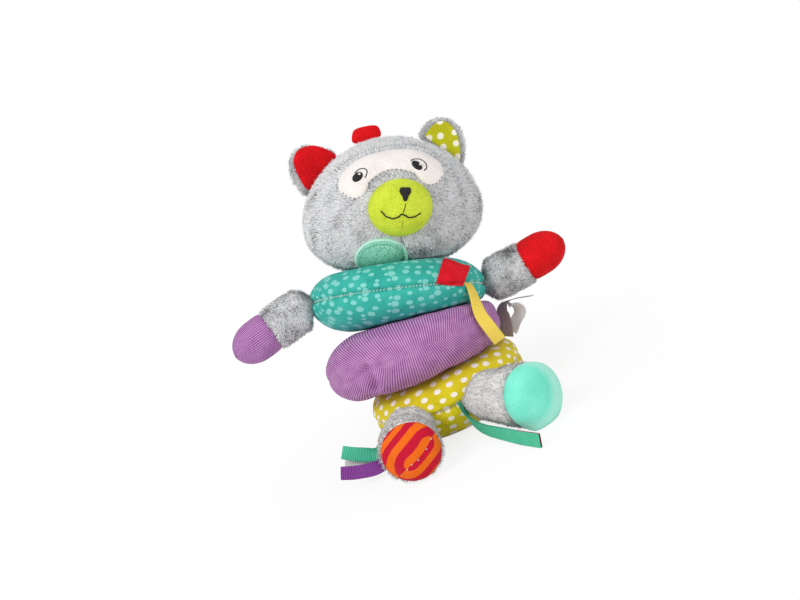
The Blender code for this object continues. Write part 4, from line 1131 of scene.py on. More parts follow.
# %% Stitches round the mask
def running(points, length, gap, tree, proud=0.0001):
    """Short stitches along a line of points on a surface."""
    made, travelled, start = [], 0.0, None
    for a, b in zip(points, points[1:]):
        travelled += (b - a).length
        if start is None and travelled > gap:
            start, travelled = b, 0.0
        elif start is not None and travelled > length:
            normal = tree.find_nearest(b)[1]
            made.append((start + normal * proud, b + normal * proud, normal))
            start, travelled = None, 0.0
    return made


lower, upper_line = [], []
for i in range(361):
    x = -MASK_WIDE * math.cos(math.pi * i / 360)
    low, high = mask_edges(x)
    lower.append(on_face(x * 0.985, low + 0.0012, 0.0, mask_tree))
    upper_line.append(on_face(x * 1.05, high + 0.0024, 0.0002))
sew("mask_lower_thread", running(lower, 0.0016, 0.0011, mask_tree), 0.0005, 0.0004, dark_thread, "black_stitch", "head")
sew("mask_upper_thread", running(upper_line[40:320], 0.0009, 0.0009, head_tree), 0.00045, 0.0012, dark_thread,
    "black_stitch", "head")
print("mask sewn")

# %% [markdown]
# Arms and legs are stuffed tubes of grey plush. Each is sewn flat into a seam, swells, bends a little and ends
# in a hand or foot of another cloth, joined by a seam of its own. One function gives the ring of points at
# any share of the length, so the sleeve and the hand agree.

# %% Limb shapes
ROLL = 0.0025


def smooth(t):
    t = min(1.0, max(0.0, t))
    return t * t * (3 - 2 * t)


def rolled(distance, full, swell):
    into_roll = max(0.0, 1 - distance / ROLL)
    return ROLL * math.sqrt(max(0.0, 1 - into_roll**2)) + (full - ROLL) * smooth(distance / swell)


def arm_profile(t):
    length, radius = 0.061, 0.0142
    wide = 0.0100 + (radius - 0.0100) * smooth(t * length / 0.013)
    close = math.sqrt(max(0.0, 1 - max(0.0, (t - 1 + radius / length) / (radius / length)) ** 2))
    return wide * close, rolled(t * length, radius, 0.013) * close


def leg_profile(t):
    length, radius, thin, cut = 0.062, 0.0195, 0.0160, 0.84
    flare = (radius - thin) * smooth((t - 0.40) / 0.40)
    wide = 0.0120 + (thin - 0.0120) * smooth(t * length / 0.020)
    close = fullness(max(0.0, (t - cut) / (1 - cut)), 3.2, 0.5)
    return (wide + flare) * close, (rolled(t * length, thin, 0.020) + flare) * close


class LimbLine:
    """The middle line of a limb and its rings, from its place in a cushion's seam."""

    def __init__(self, cushion_at, reach, around, way, length, sweep, profile):
        a = math.radians(around)
        centre = cushion_at.translation
        self.out = (cushion_at @ Vector((math.cos(a), math.sin(a), 0)) - centre).normalized()
        self.across = self.out.cross(cushion_at.col[2].to_3d()).normalized()
        self.root = centre + self.out * (reach - 0.0006)
        way = Vector(way).normalized()
        self.tip = centre + self.out * (reach + 0.0003) + way * length
        self.bend = self.root + self.out.lerp(way, sweep).normalized() * length * 0.38
        self.length, self.profile = length, profile

    def middle(self, t):
        return self.root * (1 - t) ** 2 + self.bend * 2 * t * (1 - t) + self.tip * t * t

    def axes(self, t):
        along = (self.bend.lerp(self.tip, t) - self.root.lerp(self.bend, t)).normalized()
        along = self.out.lerp(along, smooth(t / 0.25)).normalized()
        top = self.across.cross(along).normalized()
        return along.cross(top), top, along

    def ring_point(self, t, around, inset=0.0):
        side, top, _ = self.axes(t)
        wide, high = (max(size - inset, 0.0003) for size in self.profile(t))
        return self.middle(t) + wide * math.cos(around) * side + high * math.sin(around) * top


LEG_DOWN = 0.0195 + 0.0003 - 0.022
LEG_FLAT = math.sqrt(0.062**2 - LEG_DOWN**2)


def leg_way(degrees):
    return LEG_FLAT * math.cos(math.radians(degrees)), LEG_FLAT * math.sin(math.radians(degrees)), LEG_DOWN


left_arm = LimbLine(TEAL_AT, 0.056, 180, (-1.0, -0.14, -0.13), 0.061, 0.7, arm_profile)
right_arm = LimbLine(TEAL_AT, 0.056, 0, (1.0, -0.17, 0.10), 0.061, 0.7, arm_profile)
left_leg = LimbLine(BASE_AT, 0.051, -122, leg_way(-103), 0.062, 0.1, leg_profile)
right_leg = LimbLine(BASE_AT, 0.051, -73, leg_way(-58), 0.062, 0.1, leg_profile)
print("four limb lines")

# %% [markdown]
# A limb starts as one sphere, filled in one go, so that the hand follows the sleeve without a step. Then the seam
# is drawn in and the sphere is cut there into two closed pieces, one for each cloth. The hand gets a flat
# map: along and round the limb for a knit, or straight across the end for a sole.

# %% Stuffed limbs
def limb_pieces(line, cut, names, nodes, finishes, slots, body, map_kind, swell=0.0018):
    rings_total, rings_before = 26, 15

    def place(around, share):
        k = share * rings_total
        if k <= rings_before:
            t = cut * (k / rings_before) ** 1.25
        else:
            t = cut + (1 - cut) * math.sin(0.5 * math.pi * (k - rings_before) / (rings_total - rings_before))
        return line.ring_point(t, around, 0.0005) if 0 < share < 1 else line.middle(t)

    whole = ball(names[0], 36, rings_total, place)
    centre_line = np.array([tuple(line.middle(i / 200)) for i in range(201)])

    def share_along(points):
        gap = np.linalg.norm(points[:, None, :] - centre_line[None, :, :], axis=2)
        return gap.argmin(axis=1) / 200, gap.min(axis=1)

    middles = np.array([tuple(face.center) for face in whole.data.polygons])
    cut_point = np.array(tuple(line.middle(cut)))
    cut_way = np.array(tuple(line.axes(cut)[2]))
    beyond = (middles - cut_point) @ cut_way > 0
    for material in finishes:
        whole.data.materials.append(material)
    for face, far in zip(whole.data.polygons, beyond):
        face.material_index = int(far)
    on_cut = np.abs((points_of(whole) - cut_point) @ cut_way) < 0.0006
    fill(whole, on_cut, swell, slack=0.03)
    lowest = points_of(whole)
    lowest[:, 2] = np.maximum(lowest[:, 2], 0.0002)
    set_points(whole, lowest)
    smoother(whole, 1)
    points = points_of(whole)
    off = (points - cut_point) @ cut_way
    t, _ = share_along(points)
    middle = centre_line[(t * 200).astype(int)]
    away = points - middle
    away /= np.maximum(np.linalg.norm(away, axis=1, keepdims=True), 1e-6)
    near_rim = np.linalg.norm(points - cut_point, axis=1) > 0.5 * line.profile(cut)[0]
    points = points - away * (0.0010 * np.exp(-(off / 0.0011) ** 2) * near_rim)[:, None]
    set_points(whole, points)
    side, top, _ = line.axes(cut)
    local = points - cut_point
    layer = whole.data.uv_layers.active or whole.data.uv_layers.new(name="flat")
    corners = np.empty(len(whole.data.loops), dtype=np.int64)
    whole.data.loops.foreach_get("vertex_index", corners)
    across, upward = local @ np.array(tuple(side)), local @ np.array(tuple(top))
    if map_kind == "round":
        turn = np.arctan2(upward, across)[corners].reshape(-1, 4)
        turn = turn[:, :1] + (turn - turn[:, :1] + math.pi) % (2 * math.pi) - math.pi
        pairs = np.stack([turn.ravel() * line.profile(cut)[0], (local @ cut_way)[corners]], axis=1)
    else:
        pairs = np.stack([across[corners], upward[corners]], axis=1)
    layer.data.foreach_set("uv", pairs.ravel())
    choose(whole)
    bpy.ops.object.mode_set(mode="EDIT")
    bpy.ops.mesh.separate(type="MATERIAL")
    bpy.ops.object.mode_set(mode="OBJECT")
    parts = sorted((o for o in bpy.context.selected_objects if o.type == "MESH"),
                   key=lambda o: ((points_of(o).mean(axis=0) - cut_point) @ cut_way))
    for part in parts:
        part.name = "limb_part"
    for part, name, own_nodes, material, slot in zip(parts, names, nodes, finishes, slots):
        part.name = name
        choose(part)
        bpy.ops.object.mode_set(mode="EDIT")
        bpy.ops.mesh.select_all(action="DESELECT")
        bpy.ops.mesh.select_mode(type="EDGE")
        bpy.ops.mesh.select_non_manifold(extend=False, use_wire=False, use_multi_face=False,
                                         use_non_contiguous=False, use_verts=False)
        bpy.ops.mesh.edge_face_add()
        bpy.ops.mesh.select_mode(type="VERT")
        bpy.ops.object.mode_set(mode="OBJECT")
        give(part, material, slot, body, *own_nodes)
    print(names, [len(part.data.polygons) for part in parts], "faces")
    return parts


left_sleeve, left_hand = limb_pieces(left_arm, 0.60, ("left_sleeve_plush", "left_paw_knit"),
                                     (("left_sleeve", "left_arm_stuffing"), ("left_paw",)),
                                     (grey_under, paw_knit), ("grey_plush", "purple_knit"), "left_arm", "round")
right_sleeve, right_hand = limb_pieces(right_arm, 0.60, ("right_sleeve_plush", "right_hand_plush"),
                                       (("right_sleeve", "right_arm_stuffing"), ("right_paw",)),
                                       (grey_under, red_plush), ("grey_plush", "red_cloth"), "right_arm", "round")
left_thigh, left_sole = limb_pieces(left_leg, 0.84, ("left_leg_plush", "left_sole_print"),
                                    (("left_leg_fur", "left_leg_stuffing"), ("left_sole",)),
                                    (pale_under, striped_sole), ("grey_plush", "striped_sole"), "left_leg", "flat")
right_thigh, right_foot = limb_pieces(right_leg, 0.84, ("right_leg_plush", "right_foot_velour"),
                                      (("right_leg_fur", "right_leg_stuffing"), ("right_foot",)),
                                      (pale_under, mint_plush), ("grey_plush", "mint_plush"), "right_leg", "flat")

# %% The right foot is plumper and has a painted sheen at its rim, the left sole narrower; its bands run round a slit
def bend(piece, line, lean, reach=0.030):
    """Moves the outer end of a leg sideways, and less and less towards its root."""
    start, way = (np.array(tuple(v)) for v in (line.middle(0.84), line.axes(0.84)[2]))
    moved = points_of(piece)
    eased = np.array([smooth(1 + along / reach) for along in (moved - start) @ way])
    set_points(piece, moved + np.outer(eased, np.array(tuple(lean))))


def reshape_end(piece, line, swell, stretch, lean, narrow=0.0):
    """Swells, stretches, leans and narrows the end of a leg, more so away from its seam."""
    start, way = (np.array(tuple(v)) for v in (line.middle(0.84), line.axes(0.84)[2]))
    sideways = np.array(tuple(right))
    local = points_of(piece) - start
    along = local @ way
    eased = np.array([smooth(a / 0.007) for a in along])[:, None]
    radial = local - np.outer(along, way)
    moved = start + radial * (1 + swell * eased) + np.outer(along, way) * (1 + stretch * eased)
    moved += eased * (np.array(tuple(lean)) - narrow * np.outer(local @ sideways, sideways))
    moved[:, 2] = np.maximum(moved[:, 2], 0.0003)
    set_points(piece, moved)


reshape_end(right_foot, right_leg, 0.15, 0.25, right * 0.0024 - up * 0.0010)
for piece in (left_thigh, left_sole):
    bend(piece, left_leg, right * 0.0018 + up * 0.0006)
reshape_end(left_sole, left_leg, 0.0, 0.0, right * 0.0032 + up * 0.0020, 0.18)


def painted_rim_sheen(material, middle, start, end, pale):
    """Mixes a paler tone, a painted sheen, into a finish with the distance from a middle point."""
    tree = material.node_tree
    shader = next(node for node in tree.nodes if node.type == "BSDF_PRINCIPLED")
    plain = shader.inputs["Base Color"].links[0].from_socket
    away = add(tree, "VectorMath", [(0, add(tree, "TexCoord").outputs["Object"])], operation="DISTANCE")
    away.inputs[1].default_value = middle
    share = add(tree, "MapRange", [("Value", away.outputs["Value"])])
    share.inputs["From Min"].default_value, share.inputs["From Max"].default_value = start, end
    share.inputs["To Max"].default_value = 0.5
    mixed = tree.nodes.new("ShaderNodeMix")
    mixed.data_type = "RGBA"
    tree.links.new(share.outputs[0], mixed.inputs["Factor"])
    tree.links.new(plain, mixed.inputs["A"])
    mixed.inputs["B"].default_value = pale
    tree.links.new(mixed.outputs["Result"], shader.inputs["Base Color"])


# The mint foot's paler rim is painted sheen.
painted_rim_sheen(mint_plush, in_picture(528, 393, surface_of(right_foot))[0], 0.0165, 0.0225, srgb(206, 244, 232))
sole_tree = surface_of(left_sole)
slit_middle = in_picture(418.4, 453.4, sole_tree)[0]
local = points_of(left_sole) - np.array(tuple(slit_middle))
beside = local @ np.array(tuple(0.62 * right + 0.785 * up))
over = local @ np.array(tuple(0.62 * up - 0.785 * right))
over += 0.0022 * np.exp(-(beside / 0.011) ** 2 - (over / 0.006) ** 2)
corners = np.empty(len(left_sole.data.loops), dtype=np.int64)
left_sole.data.loops.foreach_get("vertex_index", corners)
left_sole.data.uv_layers.active.data.foreach_set("uv", np.stack([beside[corners], over[corners]], axis=1).ravel())
print("bands set on the sole")

# %% [markdown]
# Plush is a short fur. Each tuft is a bent sliver of three triangles, rooted in the cloth and narrowing to its
# tip, and tens of thousands of them cover a piece. They lean the way the nap was brushed, and slow waves
# in that lean part the pile here and there, so the dark roots show as they do on the real toy.

# %% Strands of plush
LIGHT_SIDE = np.array((0.10, -0.80, 0.60))


def slow_waves(points, seed, length):
    """A smooth vector field from a few chance waves, about one long."""
    dice = np.random.default_rng(seed)
    field = np.zeros_like(points)
    for _ in range(6):
        wave_way = dice.normal(size=3)
        wave_way *= 2 * math.pi / (length * dice.uniform(0.7, 1.6) * np.linalg.norm(wave_way))
        field += np.outer(np.sin(points @ wave_way + dice.uniform(0, 2 * math.pi)), dice.normal(size=3))
    return field / 3.0


def grow(name, piece, per_mm2, length, width, seed, material, body, comb, keep=None, stand=0.55, parting=0.32,
         lit=0.3, slot="grey_plush"):
    data = piece.data
    data.calc_loop_triangles()
    corners = np.empty(len(data.loop_triangles) * 3, dtype=np.int64)
    data.loop_triangles.foreach_get("vertices", corners)
    corners = corners.reshape(-1, 3)
    points = points_of(piece)
    normals = np.empty(len(data.vertices) * 3)
    data.vertex_normals.foreach_get("vector", normals)
    normals = normals.reshape(-1, 3)
    a, b, c = (points[corners[:, i]] for i in range(3))
    area = 0.5 * np.linalg.norm(np.cross(b - a, c - a), axis=1)
    dice = np.random.default_rng(seed)
    count = int(area.sum() * 1e6 * per_mm2)
    chosen = dice.choice(len(area), size=count, p=area / area.sum())
    u, v = dice.random(count), dice.random(count)
    u, v = np.where(u + v > 1, 1 - u, u), np.where(u + v > 1, 1 - v, v)
    roots = a[chosen] * (1 - u - v)[:, None] + b[chosen] * u[:, None] + c[chosen] * v[:, None]
    out = sum(normals[corners[chosen, i]] * w[:, None] for i, w in enumerate((1 - u - v, u, v)))
    out /= np.linalg.norm(out, axis=1, keepdims=True)
    if keep is not None:
        kept = keep(roots, out)
        roots, out = roots[kept], out[kept]
        count = len(roots)
    combed = comb(roots) if callable(comb) else np.broadcast_to(np.array(comb), roots.shape)
    combed = combed - out * (combed * out).sum(1, keepdims=True)
    way = out * stand + combed + slow_waves(roots, seed, 0.011) * parting + dice.normal(size=(count, 3)) * 0.16
    way += out * np.maximum(0.25 - (way * out).sum(1, keepdims=True), 0)
    way /= np.linalg.norm(way, axis=1, keepdims=True)
    long = length * dice.uniform(0.65, 1.15, size=(count, 1))
    side = np.cross(way, out + dice.normal(size=(count, 3)) * 0.5)
    side *= np.sign((np.cross(side, way) * out).sum(1, keepdims=True))
    side /= np.linalg.norm(side, axis=1, keepdims=True)
    bend = combed * 0.35 + dice.normal(size=(count, 3)) * 0.12
    tips = roots + (way + bend) * long
    mids = roots + (way + 0.25 * bend) * long * 0.5
    low = roots - out * 0.0004
    wide = 0.5 * width
    verts = np.stack([low - side * wide, low + side * wide, mids + side * wide * 0.85, mids - side * wide * 0.85, tips],
                     axis=1).reshape(-1, 3)
    verts[:, 2] = np.maximum(verts[:, 2], 0.0001)
    first = (np.arange(count) * 5)[:, None]
    corner_list = np.concatenate([first + np.array([0, 1, 2, 3]), first + np.array([3, 2, 4])], axis=1).ravel()
    strands = bpy.data.meshes.new(name)
    strands.vertices.add(len(verts))
    strands.vertices.foreach_set("co", verts.ravel())
    strands.loops.add(len(corner_list))
    strands.loops.foreach_set("vertex_index", corner_list)
    strands.polygons.add(2 * count)
    strands.polygons.foreach_set("loop_start", (np.arange(count)[:, None] * 7 + np.array([0, 4])).ravel())
    strands.update(calc_edges=True)
    tone = dice.random(count)
    layer = strands.uv_layers.new(name="strand")
    heights = np.array([0.0, 0.0, 0.5, 0.5, 0.5, 0.5, 1.0])
    pairs = np.stack([np.repeat(tone, 7), np.tile(heights, count)], axis=1)
    layer.data.foreach_set("uv", pairs.ravel())
    strands.shade_smooth()
    shade = np.repeat(out + lit * LIGHT_SIDE + dice.normal(size=(count, 3)) * 0.12, 5, axis=0)
    shade /= np.linalg.norm(shade, axis=1, keepdims=True)
    strands.normals_split_custom_set_from_vertices([tuple(n) for n in shade])
    tuft = bpy.data.objects.new(name, strands)
    scene.collection.objects.link(tuft)
    give(tuft, material, slot, body)
    print(name, count, "strands")
    return tuft


HEAD_BACK_FRAME = np.array(HEAD_AT.inverted())
CHIN_SPOT = np.array(tuple(in_picture(381.5, 259.5, head_tree)[0]))


def face_is_bare(roots):
    """Which spots of the head lie under the mask or the muzzle."""
    local = roots @ HEAD_BACK_FRAME[:3, :3].T + HEAD_BACK_FRAME[:3, 3]
    x, z, front = local[:, 0], local[:, 2], local[:, 1] < 0
    far = np.minimum(np.abs(x) / MASK_WIDE, 1)
    high = 0.0160 + 0.0180 * np.maximum(0, 1 - far**2.6) ** 0.55
    lobe = 0.0148 - 0.0096 * np.sqrt(np.maximum(0, 1 - ((np.abs(x) - 0.0247) / 0.0092) ** 2))
    bridge = 0.0192 - 0.0080 * np.minimum(1, np.abs(x) / 0.0190) ** 1.9
    low = np.where(np.abs(x) > 0.0150, np.minimum(lobe, bridge), bridge)
    dart = front & (np.abs(x - DART_X) < 0.0007) & (z < DART_TOP) & (z > DART_END)
    under_disc = np.linalg.norm(roots - CHIN_SPOT, axis=1) < 0.0150
    masked = dart | under_disc | front & (np.abs(x) < MASK_WIDE - 0.0012) & (z > low + 0.0006) & (z < high - 0.0010)
    snout = np.hypot((x - MUZZLE_X) / (MUZZLE_WIDE - 0.0012), (z - MUZZLE_Z) / (MUZZLE_HIGH - 0.0012)) < 1
    return masked | (front & snout)


def head_comb(roots):
    """The nap runs away from the muzzle and down the cheeks, and back over the crown."""
    local = roots @ HEAD_BACK_FRAME[:3, :3].T + HEAD_BACK_FRAME[:3, 3]
    away = local - np.array([MUZZLE_X, -0.04, MUZZLE_Z])
    away /= np.linalg.norm(away, axis=1, keepdims=True)
    away[:, 2] -= 0.25
    crown = np.clip((local[:, 2] - 0.015) / 0.02, 0, 1)[:, None]
    away = away * (0.45 + 0.55 * crown)
    return away @ np.array(HEAD_AT)[:3, :3].T


grow("head_pile", head, 2.4, 0.0024, 0.00034, 21, head_strands, "head", head_comb,
     keep=lambda roots, out: ~face_is_bare(roots) & ((roots - np.array(NECK[0])) @ np.array(NECK[1]) > 0.002))
print("head covered in plush")

# %% Plush on the limbs
def limb_comb(line, strength=0.55):
    way = (line.tip - line.root).normalized()
    return np.array(tuple(way * strength + Vector((0, 0, -0.15))))


for name, piece, line, seed, density in (
    ("left_arm_pile", left_sleeve, left_arm, 31, 2.4), ("right_arm_pile", right_sleeve, right_arm, 32, 2.4),
    ("left_leg_pile", left_thigh, left_leg, 33, 1.3), ("right_leg_pile", right_thigh, right_leg, 34, 1.5),
):
    is_arm = "arm" in name
    cut_share = 0.60 if is_arm else 0.84
    cut_at, cut_out = np.array(tuple(line.middle(cut_share))), np.array(tuple(line.axes(cut_share)[2]))
    rim = line.profile(cut_share)[0] * 0.72

    def beside_seam(roots, out, cut_at=cut_at, cut_out=cut_out, rim=rim):
        return ((roots - cut_at) @ cut_out < -0.0002) | (np.linalg.norm(roots - cut_at, axis=1) > rim)

    grow(name, piece, density, 0.0022 if is_arm else 0.0017, 0.00034, seed,
         grey_strands if is_arm else leg_strands if "right" in name else white_strands, name[:-5],
         limb_comb(line), keep=beside_seam,
         lit=0.3 if is_arm else 0.0)
    if not is_arm:
        def at_rim(roots, out, cut_at=cut_at, cut_out=cut_out, rim=rim):
            along = (roots - cut_at) @ cut_out
            return (along < -0.0004) & (along > -0.0042) & (np.linalg.norm(roots - cut_at, axis=1) > rim)
        grow(name[:-5] + "_fringe", piece, 2.0, 0.0034, 0.00036, seed + 20, white_strands, name[:-5],
             limb_comb(line, 0.5), keep=at_rim, stand=0.7, parting=0.2, lit=0.0)
print("limbs covered in plush")

# %% [markdown]
# The knit is pulled in at one spot of the purple cushion's seam, and folds run from it. A fold is a soft groove
# along a few spots of the picture, with a slight swell on both sides.

# %% Folds in the cushions
def pinch(piece, knots, depth, width):
    tree = surface_of(piece)
    line = [in_picture(k.x, k.y, tree) for k in curve_through([(x, y, 0) for x, y in knots])]
    line = [(spot, normal) for spot, normal in line if spot is not None]
    points = points_of(piece)
    away = np.full(len(points), 1.0)
    for spot, _ in line:
        away = np.minimum(away, np.linalg.norm(points - np.array(tuple(spot)), axis=1))
    inward = -sum((normal for _, normal in line), Vector((0, 0, 0))).normalized()
    sunk = depth * np.exp(-(away / width) ** 2) - 0.3 * depth * np.exp(-((away - 2.3 * width) / width) ** 2)
    set_points(piece, points + sunk[:, None] * np.array(tuple(inward)))


pinch(purple, [(366.5, 368), (369, 371.5), (372.5, 380), (375.5, 389)], 0.0032, 0.0024)
pinch(purple, [(341, 385.5), (352, 380), (361, 375), (367.5, 370)], 0.0011, 0.0013)
pinch(purple, [(462, 321), (470, 316), (478, 309)], 0.0010, 0.0014)
pinch(teal, [(371.5, 279), (373.5, 284), (376.5, 288.5), (381, 291)], 0.0008, 0.0012)
pinch(teal, [(386, 289.5), (389, 294), (388.5, 299)], 0.0007, 0.0011)
pinch(base, [(437, 406), (444, 412), (448, 420)], 0.0011, 0.0014)
print("folds pressed in")

# %% [markdown]
# Ears and the tab between them are flat and double: a plush back and a smooth lining in front. Their outlines
# are the shapes they have in the picture, laid on the plane through the head's seam. One sphere squeezed
# flat inside such an outline gives a closed, slightly padded leaf.

# %% Leaves sewn into the head's seam
HEAD_IN = HEAD_AT.inverted()


def on_seam_plane(x, y):
    """Where a pixel's line of sight meets the plane of the head's seam, in the head's own frame."""
    eye = HEAD_IN @ camera.matrix_world.translation
    way = HEAD_IN.to_3x3() @ (ahead * DISTANCE + right * (x - 400) * PIXEL + up * (300 - y) * PIXEL)
    spot = eye + way * ((SEAM_Y - eye.y) / way.y)
    return spot.x, spot.z


def round_outline(knots):
    """A closed smooth outline as reach over angle, round the middle of its knots."""
    spots = [Vector((*on_seam_plane(x, y), 0)) for x, y in knots]
    line = []
    for i in range(len(spots)):
        a, b, c, d = (spots[(i + k) % len(spots)] for k in (-1, 0, 1, 2))
        for k in range(10):
            t = k / 10
            line.append(0.5 * (2 * b + (c - a) * t + (2 * a - 5 * b + 4 * c - d) * t * t
                               + (3 * b - a - 3 * c + d) * t ** 3))
    middle = sum(line, Vector((0, 0, 0))) / len(line)
    around = np.array([math.atan2(p.y - middle.y, p.x - middle.x) for p in line])
    reach = np.array([(p - middle).length for p in line])
    order = np.argsort(around)
    return middle, around[order], reach[order]


def reach_at(shape, around):
    return np.interp(around, shape[1], shape[2], period=2 * math.pi)


def leaf(name, shape, thickness, forward_by, cup, material, slot, body, *nodes):
    def place(around, share):
        out = math.sin(math.pi * share)
        reach = out * float(reach_at(shape, around))
        x, z = shape[0].x + reach * math.cos(around), shape[0].y + reach * math.sin(around)
        away = max(0.0, math.hypot(x, z * 1.2) - 0.050)
        deep = 0.5 * thickness * fullness(out, 3.0, 0.45) * (-1 if share < 0.5 else 1)
        return HEAD_AT @ Vector((x, SEAM_Y + deep - forward_by - cup * away, z))
    piece = smoother(ball(name, 40, 16, place), 1)
    layer = piece.data.uv_layers.active or piece.data.uv_layers.new(name="flat")
    local = into(HEAD_AT, points_of(piece))
    corners = np.empty(len(piece.data.loops), dtype=np.int64)
    piece.data.loops.foreach_get("vertex_index", corners)
    layer.data.foreach_set("uv", local[corners][:, [0, 2]].ravel())
    return give(piece, material, slot, body, *nodes)


left_back_shape = round_outline([(337, 155), (322, 148), (306, 147), (294, 152), (289.5, 166), (292.5, 181),
                                 (304, 196), (314, 192), (326, 172)])
left_lining_shape = round_outline([(337, 157), (324, 149.2), (311, 146.8), (297.5, 151.5), (293, 163), (298, 177),
                                   (308.5, 191.5), (318, 183), (329, 168)])
right_back_shape = round_outline([(418, 137), (426, 124), (441, 119.3), (456, 126), (463.8, 143), (462.6, 167),
                                  (449, 160), (433, 147)])
right_lining_shape = round_outline([(424.5, 137), (433, 125.3), (443, 122.5), (453.5, 131), (459, 146), (458.6, 165),
                                    (446, 155), (434, 144)])
left_ear = leaf("left_ear_plush", left_back_shape, 0.0034, -0.0022, 0.30, grey_under, "grey_plush", "left_ear",
                "left_ear_back")
leaf("left_ear_velour", left_lining_shape, 0.0022, 0.0007, 0.30, red_plush, "red_cloth", "left_ear",
     "left_ear_lining")
right_ear = leaf("right_ear_plush", right_back_shape, 0.0034, -0.0022, 0.30, grey_under, "grey_plush", "right_ear",
                 "right_ear_back")
leaf("right_ear_print", right_lining_shape, 0.0022, 0.0007, 0.30, lining_dots, "chartreuse_dots", "right_ear",
     "right_ear_lining")
tab_shape = round_outline([(353, 143), (352.4, 133), (356, 128.6), (366, 125.8), (375, 124.8), (379, 127),
                           (381, 136), (368, 142)])
leaf("crown_tab_felt", tab_shape, 0.0026, -0.0012, 0.0, red_plush, "red_cloth", "head", "crown_tab")


def ear_keep(shape):
    def keep(roots, out):
        local = into(HEAD_AT, roots)
        faces_front = out @ np.array(tuple(forward)) > 0.2
        x, z = local[:, 0] - shape[0].x, local[:, 2] - shape[0].y
        covered = np.hypot(x, z) < reach_at(shape, np.arctan2(z, x)) - 0.0002
        return ~(faces_front & covered)
    return keep


for name, piece, shape, seed, body in (
    ("left_ear_pile", left_ear, left_lining_shape, 41, "left_ear"),
    ("right_ear_pile", right_ear, right_lining_shape, 42, "right_ear"),
):
    comb = HEAD_AT.to_3x3() @ Vector((shape[0].x, 0, shape[0].y)).normalized() * 0.35
    grow(name, piece, 3.2, 0.0019, 0.00030, seed, ear_strands, body, np.array(tuple(comb)), keep=ear_keep(shape),
         stand=0.6, parting=0.25)
print("ears and tab sewn in")

# %% [markdown]
# The cushions grip each other with discs of hook and loop tape: a hook disc under one, a loop disc on top of the
# next. Each is a thin round with a soft turned edge and a ring of stitches. The one at the chin bends with
# the chin, and so shows from the front.

# %% Hook and loop discs
DISC_RADIUS = 0.017


def hoop(name, place, thin, material, slot, body, around=72, sides=8):
    """A closed ring of cord; place takes the angle around and gives the spot, the way out and the way up."""
    deselect()
    bpy.ops.mesh.primitive_torus_add(major_segments=around, minor_segments=sides, major_radius=1.0, minor_radius=0.25)
    piece = bpy.context.object
    piece.name = name
    moved = []
    for x, y, z in points_of(piece):
        spot, away, top = place(math.atan2(y, x))
        moved.append(tuple(spot + thin * (away * (math.hypot(x, y) - 1.0) * 4.0 + top * z * 4.0)))
    set_points(piece, np.array(moved))
    return give(outward(piece), material, slot, body)


def tape_disc(name, place, rim_material, face_material, body, node, thread=white_thread):
    """place takes an angle, a share of the radius and a height over the cloth."""
    def shape(around, share):
        out = math.sin(math.pi * share)
        return place(around, out, 0.0010 * min(1.0, 6.0 * (1 - out) ** 0.5) if share < 0.5 else 0.0)
    piece = smoother(ball(name, 48, 16, shape), 1)
    give(piece, face_material, "mint_disc", body, node)

    def edge(a):
        spot, inner, over = place(a, 1.0, 0.0005), place(a, 0.9, 0.0005), place(a, 1.0, 0.0015)
        return spot, (spot - inner).normalized(), (over - spot).normalized()
    hoop(name + "_edge", edge, 0.00085, rim_material, "mint_disc", body)
    ring = [place(2 * math.pi * i / 240, 0.86, 0.0011) for i in range(241)]
    made, top = [], place(0.0, 0.5, 1.0) - place(0.0, 0.5, 0.0)
    for i in range(0, 240, 6):
        made.append((ring[i], ring[i + 4], top.normalized()))
    sew(name + "_thread", made, 0.00035, 0.0002, thread, "mint_disc", body)
    return piece


def flat_disc(plane, side):
    point, normal = plane[0], plane[1] * side
    across = normal.orthogonal().normalized()
    along = normal.cross(across)

    def place(around, share, high):
        flat = across * math.cos(around) + along * math.sin(around)
        return point + normal * (0.0012 - high) + flat * (DISC_RADIUS - 0.0008) * share
    return place


for name, plane, side, body in (
    ("base_top_disc", HIPS, -1, "base"), ("purple_under_disc", HIPS, 1, "purple"),
    ("purple_top_disc", WAIST, -1, "purple"), ("teal_under_disc", WAIST, 1, "teal"),
):
    tape_disc(name[:-4] + "tape", flat_disc(plane, side), mint_rim, mint_loops, body, name, teal_thread)

chin_spot, chin_out = in_picture(381.5, 259.5, head_tree)
chin_out = (chin_out + in_picture(381.5, 249.0, head_tree)[1]).normalized()
chin_across = (right - chin_out * right.dot(chin_out)).normalized()
chin_along = chin_out.cross(chin_across)


def chin_place(lift):
    def place(around, share, high):
        flat = chin_across * math.cos(around) + chin_along * math.sin(around)
        start = chin_spot + flat * (DISC_RADIUS - 0.0006) * share + chin_out * 0.02
        spot, normal, _, _ = head_tree.ray_cast(start, -chin_out)
        if spot is None or (spot - start).length > 0.034:
            spot = start - chin_out * 0.034
        return spot + chin_out * (lift + high)
    return place


tape_disc("head_under_tape", chin_place(0.0012), mint_rim, mint_loops, "head", "head_under_disc", teal_thread)
tape_disc("teal_top_tape", chin_place(-0.0004), mint_rim, mint_loops, "teal", "teal_top_disc", white_thread)
print("six discs")

# %% [markdown]
# The square red tag is felt, its lower edge caught in the teal cushion's seam and the rest lying up over it. It
# is a grid laid through its four corners in the picture onto the cushion, a little proud of the cloth.

# %% Square tag
teal_tree = surface_of(teal)
TAG_CORNERS = ((434.6, 285.2), (462.2, 286.6), (443.2, 259.2), (469.2, 267.6))


def tag_place(s, t):
    low = Vector(TAG_CORNERS[0]).lerp(Vector(TAG_CORNERS[1]), s)
    high = Vector(TAG_CORNERS[2]).lerp(Vector(TAG_CORNERS[3]), s)
    spot_in_picture = low.lerp(high, t)
    spot, normal = in_picture(spot_in_picture.x, spot_in_picture.y, teal_tree)
    return spot + normal * (0.0011 + 0.0005 * t + 0.0003 * math.sin(9 * s + 5 * t))


